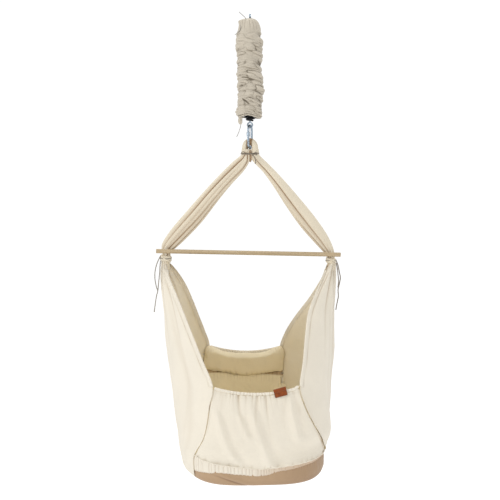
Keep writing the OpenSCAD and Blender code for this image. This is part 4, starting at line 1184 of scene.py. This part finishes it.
def make_base():
    count = 720
    p, n, at = even_oval(221.5, 376, 3.5, count)
    seam = seam_z(p[:, 0], p[:, 1])[0]
    stretch = (seam - 0.5 + 1396) / (1396 - 1367.5)
    # profile from the rim down and under: outward offset, height
    prof = [(-1.5, -1367.5), (-0.5, -1372), (0, -1380), (0.6, -1390), (0.6, -1399), (-0.8, -1407), (-4.5, -1414),
            (-11, -1418.4),
            (-22, -1420.2), (-40, -1420.5)]
    key = catmull(np.array(prof), np.linspace(0, len(prof) - 1, 46))
    front = np.clip(-p[:, 1] / 376, 0, 1)
    rows = []
    shade = []
    for off, z0 in key:
        z = np.where(z0 > -1396, -1396 + (z0 + 1396) * stretch, z0)
        low = smoothstep(-z, 1396, 1412)
        wave = 1.6 * noise(at / 75, z / 40 + 60, 31) + 0.7 * noise(at / 22, z / 18 + 90, 33)
        wave += 1.1 * (pleat(at * np.pi / 27 + 0.9 * noise(at / 40, 4.0, 37) + z / 30, 0.9) - 0.6) * (1 - low)
        rim = smoothstep(z, seam - 24, seam - 4)
        ruck = pleat(at * np.pi / 10.5 + 1.2 * noise(at / 50, 2.0, 35), 0.8)
        # one long fold slants down from the band at the foot's left
        slant = z + 1385 + 0.3 * (p[:, 0] + 127)
        reach = (front > 0.5) * bump(p[:, 0], -72, 52)
        o = (off + (1 - low) * (wave + rim * 1.8 * (ruck - 0.6)) + reach
             * (4.0 * bump(slant, 5, 5.5) - 2.2 * bump(slant, -2.5, 2.5)))
        xy = p + n * o[:, None]
        drop = -1.2 * low * front * (1 - ((p[:, 0] - BASE_X) / 222) ** 2)
        rows.append(np.concatenate([xy, (z + drop)[:, None]], 1))
        # painted shade in the rim's gathers, on the underside, beside the slanting fold, and over the foot's right
        # side
        shade.append(np.clip(rim * np.clip(0.55 - ruck, 0, 1) * 0.9 + 0.2 * low + 0.9 * reach * bump(slant, -2.5, 2.2)
                             + 0.3 * (front > 0.3) * smoothstep(p[:, 0], -20, 190), 0, 1))
    g = np.array(rows)
    centre = np.array([BASE_X, 0, -1416.0])
    inner = centre + (g[-1] - centre) * [0.55, 0.55, 1]
    core = centre + (g[-1] - centre) * [0.1, 0.1, 1]
    g = np.concatenate([g, inner[None], core[None]])
    shade = np.concatenate([np.array(shade), np.zeros((2, count))])
    top = g[0] * [1, 1, 1] + np.concatenate([n * -3.0, np.zeros((count, 1))], 1) + [0, 0, -1.0]
    g = np.concatenate([top[None], g])
    shade = np.concatenate([shade[:1], shade])
    verts = np.concatenate([g.reshape(-1, 3), centre[None]])
    faces = grid_faces(len(g), count, wrap=True)
    faces += [[(len(g) - 1) * count + j, (len(g) - 1) * count + (j + 1) % count,
               len(g) * count] for j in range(count)]
    obj = new_object("base_tan", verts, faces, np.concatenate([shade.ravel(), [0]]))
    fix_normals(obj)
    solid(obj, 1.2)
    dress(obj, TAN, "hammock", "tan_cloth", "base_cover")


def make_band():
    """Cream cloth gathered on elastic round the base, deep at the foot's left corner and thin at its right."""
    count = 1500
    p, n, at = even_oval(222.3, 376.8, 3.5, count)
    seam, f, w = seam_z(p[:, 0], p[:, 1])
    side = np.where(p[:, 0] < BASE_X, 26.0, 6.0)
    height = (side * (1 - w) + w * np.interp(f, [0, 0.05, 0.15, 0.26, 0.36, 0.46, 0.56, 0.64, 1],
                                             [46, 36, 25, 21, 23, 21, 17, 12, 6]))
    ruck = pleat(at * np.pi / 11 + 2.6 * noise(at / 60, 1.0, 41) + 1.6 * noise(at / 15, 5.0, 42), 0.75)
    big = noise(at / 33, 3.0, 43)
    rows, shade = [], []
    m = 16
    for k in range(m):
        v = k / (m - 1)
        z = (seam + 0.8 - height * v - np.minimum(0.2 * height, 2.6) * v * (1 - ruck) + 2.2 * big * v
             * np.clip(height / 20, 0.2, 1))
        puffed = np.clip(height / 20, 0.4, 1)
        o = (0.4 + 1.3 * puffed * np.sin(np.pi * min(v * 1.05, 1)) + puffed
             * (0.9 + 1.9 * np.sin(np.pi * (0.12 + 0.76 * v))) * (ruck - 0.45))
        xy = p + n * o[:, None]
        rows.append(np.concatenate([xy, z[:, None]], 1))
        # painted shade in the gathers' valleys and along the band's lower edge
        shade.append(np.clip(np.clip(0.6 - ruck, 0, 1) * 0.6 + 0.12 * (v > 0.93), 0, 1))
    g = np.array(rows)
    obj = new_object("gather_band", g, grid_faces(m, count, wrap=True), np.array(shade))
    towards_tan = smoothstep(f, 0.3, 0.8) * w * 0.9
    tint = obj.data.attributes.new("tint", "FLOAT", "POINT")
    tint.data.foreach_set("value", np.tile(towards_tan, m).astype(np.float32))
    fix_normals(obj)
    solid(obj, 0.9)
    dress(obj, BAND, "hammock", "sling_cloth", "base_gather_band")
    # the seam's cord between the panels and the band
    q, qn, _ = even_oval(222.3, 376.8, 3.5, 600)
    height = seam_z(q[:, 0], q[:, 1])[0] + 0.4 + 0.5 * np.sin(np.arange(600) * 2 * np.pi / 600 * 90)
    path = np.concatenate([q + qn * 1.6, height[:, None]], 1)
    dress(ring_of_cord("base_piping", path, 1.5, 0.0, (0, 0, 1)), CREAM, "hammock", "sling_cloth")


def cushion_top():
    """The mattress with its cover: a crowned pad with a rolled edge, tufted in rows."""
    count = 300
    rings = []
    shade = []
    steps = np.concatenate([np.linspace(1, 0.9, 12), np.linspace(0.88, 0.02, 60)])
    for k in steps:
        p = even_oval(213 * k, 367 * k, 2 + 1.5 * k, count)[0]
        edge = 1 - k
        z = -1371 + 8.0 * (1 - np.exp(-edge * 30)) + 3.0 * (1 - k * k)
        h = 1.2 * noise(p[:, 0] / 28 + 5, p[:, 1] / 28 + 9, 51) + 0.5 * noise(p[:, 0] / 9 + 5, p[:, 1] / 9 + 9, 52)
        row = np.round(p[:, 1] / 95) * 95
        col = np.round((p[:, 0] - BASE_X) / 105) * 105 + BASE_X
        tuft = np.exp(-((p[:, 0] - col) ** 2 + (p[:, 1] - row) ** 2) / 15.0**2) * smoothstep(edge, 0.06, 0.15)
        zz = z + h - 4.0 * tuft
        rings.append(np.concatenate([p, np.minimum(zz, -1360.5)[:, None]], 1))
        # painted shade in the tufts' dimples
        shade.append(np.clip(tuft * 0.5, 0, 1))
    g = np.array(rings)
    # the pad's sides and underside
    p, n, _ = even_oval(216, 370, 3.5, count)
    under = []
    for off, z in ((0, -1376), (1.0, -1388), (0, -1401), (-5, -1408), (-14, -1410)):
        under.append(np.concatenate([p + n * off, np.full((count, 1), z)], 1))
    flat_under = [np.concatenate([BASE_X * np.array([1, 0]) + (p - BASE_X * np.array([1, 0])) * k,
                                  np.full((count, 1), -1410.5)], 1) for k in (0.6, 0.02)]
    g = np.concatenate([np.array(flat_under[::-1]), np.array(under[::-1]), g])
    shade = np.concatenate([np.zeros((7, count)), np.array(shade)])
    obj = tube("mattress_top", g, shade)
    dress(obj, BEIGE, "hammock", "lining_cloth", "floor_liner", "mattress_core")


def remeshed(name, source, voxel):
    mesh = source.data.copy()
    obj = bpy.data.objects.new(name, mesh)
    scene.collection.objects.link(obj)
    mod = obj.modifiers.new("remesh", "REMESH")
    mod.mode = "VOXEL"
    mod.voxel_size = voxel
    mod.use_smooth_shade = True
    apply_modifiers(obj)
    return obj


PUFF_FRAMES = 20


def puff(obj, pressure, cap):
    """Cloth under pressure, applied, with each point's movement capped in metres."""
    rest = np.array([v.co for v in obj.data.vertices], float)
    mod = obj.modifiers.new("cloth", "CLOTH")
    st = mod.settings
    st.quality = 6
    st.mass = 0.3
    st.tension_stiffness = 12
    st.compression_stiffness = 6
    st.shear_stiffness = 5
    st.bending_stiffness = 0.4
    st.use_pressure = True
    st.uniform_pressure_force = pressure
    st.effector_weights.gravity = 0.0
    st.shrink_min = -0.05
    mod.collision_settings.use_collision = False
    mod.point_cache.frame_start, mod.point_cache.frame_end = 1, PUFF_FRAMES
    for f in range(1, PUFF_FRAMES + 1):
        scene.frame_set(f)
    apply_modifiers(obj)
    scene.frame_set(1)
    now = np.array([v.co for v in obj.data.vertices], float)
    move = now - rest
    far = np.linalg.norm(move, axis=1, keepdims=True)
    now = rest + move * np.minimum(1, cap / np.maximum(far, 1e-9))
    obj.data.vertices.foreach_set("co", now.ravel())
    obj.data.update()


def subdivide(obj):
    mod = obj.modifiers.new("subdiv", "SUBSURF")
    mod.levels = mod.render_levels = 1
    apply_modifiers(obj)


def add_shade(obj, values):
    att = obj.data.attributes.get("shade") or obj.data.attributes.new("shade", "FLOAT", "POINT")
    att.data.foreach_set("value", np.asarray(values, np.float32))


# how far a pad stays off the cloth behind it, and off any panel beside it
PAD_GAP = 1.8
CLEAR = 3.0


def pad_form(name, top, low, thick, rise):
    """A closed pad inside the head panel, from row top(s) to row low(s), thick in the middle, round at its ends."""
    s = np.linspace(-1, 1, 61)
    v = circle(56)
    S, V = np.meshgrid(s, v, indexing="ij")
    up = np.sign(np.cos(V)) * np.abs(np.cos(V)) ** 0.55
    across = np.sign(np.sin(V)) * np.abs(np.sin(V)) ** 0.8
    hi, lo = top(S), low(S)
    t = (hi + lo) / 2 - up * (lo - hi) / 2
    end = 1 - 0.45 * np.abs(S) ** 14
    depth = thick / 2 * (1 + across * end)
    reach = S * (1 + 0.0028 * depth)
    tc = np.clip(t, 0, 5)
    step = 0.03
    here = end_at(tc, S * 0.998, -1)
    along_t = end_at(np.clip(tc + step, 0, 5), S * 0.998, -1) - end_at(np.clip(tc - step, 0, 5), S * 0.998, -1)
    along_s = end_at(tc, S * 0.97 + 0.01, -1) - end_at(tc, S * 0.97 - 0.01, -1)
    inwards = unit(np.cross(along_t, along_s))
    inwards = np.where(inwards[..., 1:2] > 0, -inwards, inwards)
    here[..., 0] += (reach - S) * 127 + np.sign(S) * np.abs(S) ** 6 * 9.0 * smoothstep(depth, 0, 11)
    here = here + inwards * (PAD_GAP + depth)[..., None]
    here[..., 2] += np.clip(-t, 0, None) * rise
    return tube(name, here)


def panel_tree(grid):
    return BVHTree.FromPolygons([tuple(p) for p in grid.reshape(-1, 3)], grid_faces(*grid.shape[:2]))


def fit_between_panels(co):
    """A pad's points (mm) stretched along x to end at the side panels, and kept in front of the head panel."""
    bins = np.round(co[:, 2] / 5).astype(int)
    bins -= bins.min()
    out = co.copy()
    for sign, tree in ((-1, panel_tree(LEFT_G[0])), (1, panel_tree(RIGHT_G[0]))):
        reach = np.zeros(bins.max() + 1)
        np.maximum.at(reach, bins, sign * co[:, 0])
        for i in np.where(sign * co[:, 0] > 80)[0]:
            x, y, z = co[i]
            end = reach[bins[i]]
            hit = tree.ray_cast(Vector((60 * sign, y, z)), Vector((sign, 0, 0)))[0]
            if hit is not None and end > 100:
                start = 0.7 * end
                goal = min(sign * hit.x - CLEAR, end + 16)
                if sign * x > start:
                    out[i, 0] = sign * (start + (sign * x - start) * (goal - start) / (end - start))
    back = panel_tree(BACK_G[0])
    for i, (x, y, z) in enumerate(out):
        hit = back.ray_cast(Vector((x, 150, z)), Vector((0, 1, 0)))[0]
        if hit is not None:
            out[i, 1] = min(y, hit.y - CLEAR)
    return out


def make_pads():
    def crease(s):
        return 1.65 + 0.12 * s + 0.03 * np.sin(5 * s + 1)

    forms = (("head_liner", LIGHT_BEIGE, lambda s: 1.42 + 0.1 * s, lambda s: 4.72 + 0 * s, 15.0, 67, 0.004),
             ("head_bumper", BEIGE, lambda s: -0.24 + 0 * s, crease, 27.0, 61, 0.006))
    for node, mat, top, low, thick, seed, cap in forms:
        source = pad_form(node + "_form", top, low, thick, 50)
        obj = remeshed(node + "_pad", source, 0.005)
        bpy.data.objects.remove(source)
        puff(obj, 3.0, cap)
        subdivide(obj)
        co = np.array([v.co for v in obj.data.vertices], float) / MM
        no = np.array([v.normal for v in obj.data.vertices], float)
        x, z = co[:, 0], co[:, 2]
        s_at = np.clip(x / 128, -1, 1)
        row = np.interp(-z, [1115, 1158, 1205, 1260, 1305, 1332, 1350], [-0.4, 0, 1, 2, 3, 4, 5])
        edge = row - crease(s_at)
        if node == "head_bumper":
            h = 1.5 * noise(x / 30 + 4, z / 40 + 40, seed) + 0.7 * noise(x / 11 + 9, z / 22 + 40, seed + 1)
            near = smoothstep(edge, -0.5, -0.08)
            ruck = pleat(x * np.pi / 22 + 1.5 * noise(x / 40, 1.0, seed + 4) + 0.02 * z, 0.8)
            h -= near * 2.4 * (1 - ruck)
            brim = smoothstep(z, -1158, -1142)
            tuck = pleat(x * np.pi / 8 + 1.2 * noise(x / 25, 6.0, seed + 5), 0.8)
            h -= brim * 0.9 * (1 - tuck)
            # painted shade in the bumper's gathers and tucks, darkest at its lower edge by the crease
            shade = (near * np.clip(0.6 - ruck, 0, 1) * 0.6 + 0.8 * smoothstep(edge, -0.09, -0.01) + brim
                     * np.clip(0.5 - tuck, 0, 1) * 0.6)
        else:
            h = 1.3 * noise(x / 26 + 4, z / 26 + 40, seed) + 0.7 * noise(x / 9 + 9, z / 9 + 40, seed + 1)
            near = 1 - smoothstep(edge, 0.05, 0.5)
            ruck = pleat(x * np.pi / 11 + 1.5 * noise(x / 30, 1.0, seed + 4), 0.8)
            h += near * 1.5 * (ruck - 0.6)
            # painted shade in the liner's gathers, and a painted shadow along its top under the bumper's overhang
            shade = near * np.clip(0.55 - ruck, 0, 1) * 0.35 + 0.8 * (1 - smoothstep(edge, -0.2, -0.1))
        co = fit_between_panels(co + no * h[:, None])
        obj.data.vertices.foreach_set("co", (co * MM).ravel())
        obj.data.update()
        add_shade(obj, np.clip(shade, 0, 1))
        obj.data.polygons.foreach_set("use_smooth", [True] * len(obj.data.polygons))
        dress(obj, mat, "hammock", "lining_cloth", node)


make_base()
cushion_top()
make_band()
LEFT_G = make_side("left_panel", LEFT_ROWS, 1, 3, 1.0)
RIGHT_G = make_side("right_panel", RIGHT_ROWS, -1, 8, 1.45)
make_end("front_panel", 1, CREAM, 21)
BACK_G = make_end("back_panel", -1, CREAM, 27)
make_pads()

# ---------------------------------------------------------------- the leather tab


def make_label():
    width, tilt = 38.0, math.radians(-15)
    gap, thick, front_h, back_h = 10.0, 1.6, 24.0, 16.0
    r = gap / 2 + thick / 2
    a = np.linspace(np.pi, 0, 15)
    top = [(r * math.cos(x), -r + r * math.sin(x)) for x in a]
    line = ([(-r, -front_h + (front_h - r) * k / 14) for k in range(14)] + top
            + [(r, -r - (back_h - r) * k / 9) for k in range(1, 10)])
    line = np.array(line)
    d = unit(np.gradient(line, axis=0))
    nn = np.stack([-d[:, 1], d[:, 0]], -1)
    cols = 27
    xs = np.linspace(-width / 2, width / 2, cols)
    run = distances(line)
    grids = []
    for side in (0.5, -0.5):
        pts = line + nn * side * thick
        g = np.zeros((len(line), cols, 3))
        g[..., 0] = xs[None]
        g[..., 1] = pts[:, None, 0]
        g[..., 2] = pts[:, None, 1]
        # rounded corners, a slight bow, and colour darker towards the edge
        end = np.minimum(run, run[-1] - run)
        pull = 2.2 * np.clip(1 - end / 3.0, 0, 1) ** 2
        g[..., 0] *= (1 - pull / (width / 2))[:, None]
        g[..., 1] += 0.5 * (xs[None] / 19) ** 2 * np.sign(line[:, :1]) * -1
        edge_d = np.minimum(width / 2 - np.abs(xs)[None], end[:, None])
        grids.append((g, np.clip(1 - edge_d / 1.6, 0, 1) * 0.6))
    c, s = math.cos(tilt), math.sin(tilt)

    def place(g):
        x, y, z = g[..., 0], g[..., 1], g[..., 2]
        return np.stack([67.5 + x * c + z * s, -345.6 + y, -1134.0 - x * s + z * c], -1)

    outer, inner = place(grids[0][0]), place(grids[1][0])
    m, n = outer.shape[:2]
    q = m * n
    verts = np.concatenate([outer.reshape(-1, 3), inner.reshape(-1, 3)])
    faces = grid_faces(m, n) + grid_faces(m, n, flip=True, base=q)
    rim = [[j, j + 1, j + 1 + q, j + q] for j in range(n - 1)]
    rim += [[(m - 1) * n + j + 1, (m - 1) * n + j, (m - 1) * n + j + q,
             (m - 1) * n + j + 1 + q] for j in range(n - 1)]
    rim += [[(i + 1) * n, i * n, i * n + q, (i + 1) * n + q] for i in range(m - 1)]
    rim += [[i * n + n - 1, (i + 1) * n + n - 1, (i + 1) * n + n - 1 + q, i * n + n - 1 + q] for i in range(m - 1)]
    obj = new_object("leather_tab", verts, faces + rim, np.concatenate([grids[0][1].ravel(), grids[1][1].ravel()]))
    fix_normals(obj)
    mod = obj.modifiers.new("bevel", "BEVEL")
    mod.width, mod.segments, mod.limit_method, mod.angle_limit = 0.0004, 2, "ANGLE", math.radians(50)
    apply_modifiers(obj)
    obj.data.polygons.foreach_set("use_smooth", [True] * len(obj.data.polygons))
    dress(obj, LEATHER, "hammock", "leather", "leather_label")
    box = np.array([(-16.5, -21.5), (16.5, -21.5), (16.5, -7.5), (-16.5, -7.5), (-16.5, -21.5)])
    pts = np.concatenate([np.linspace(box[k], box[k + 1], 20, endpoint=False) for k in range(4)] + [box[:1]])
    g = np.stack([pts[:, 0], np.full(len(pts), -r - thick / 2 - 0.1), pts[:, 1]], -1)
    line3 = place(g)
    stitches("leather_tab_stitch", line3, np.tile([0, -1.0, 0], (len(line3), 1)), 3.0, 2.0, 0.35, THREAD_DARK,
             "leather", lift=0.5)


make_label()

# ---------------------------------------------------------------- carried-over CAD nodes


def finish_cad():
    for name, mat in (("hanging_eye", ZINC), ("upper_lock_nut", ZINC), ("lower_eye", ZINC), ("lower_lock_nut", ZINC),
                      ("carabiner_body", ZINC), ("carabiner_gate", ZINC), ("gate_rivet", ZINC), ("lock_sleeve", ZINC),
                      ("upper_cone_plug", BLACK), ("lower_cone_plug", BLACK), ("spreader_bar", WOOD)):
        node = NODES[name]
        node.data.materials.clear()
        node.data.materials.append(mat)
    bar = NODES["spreader_bar"]
    mod = bar.modifiers.new("edge", "BEVEL")
    mod.width, mod.segments, mod.limit_method, mod.angle_limit = 0.0012, 3, "ANGLE", math.radians(40)


finish_cad()
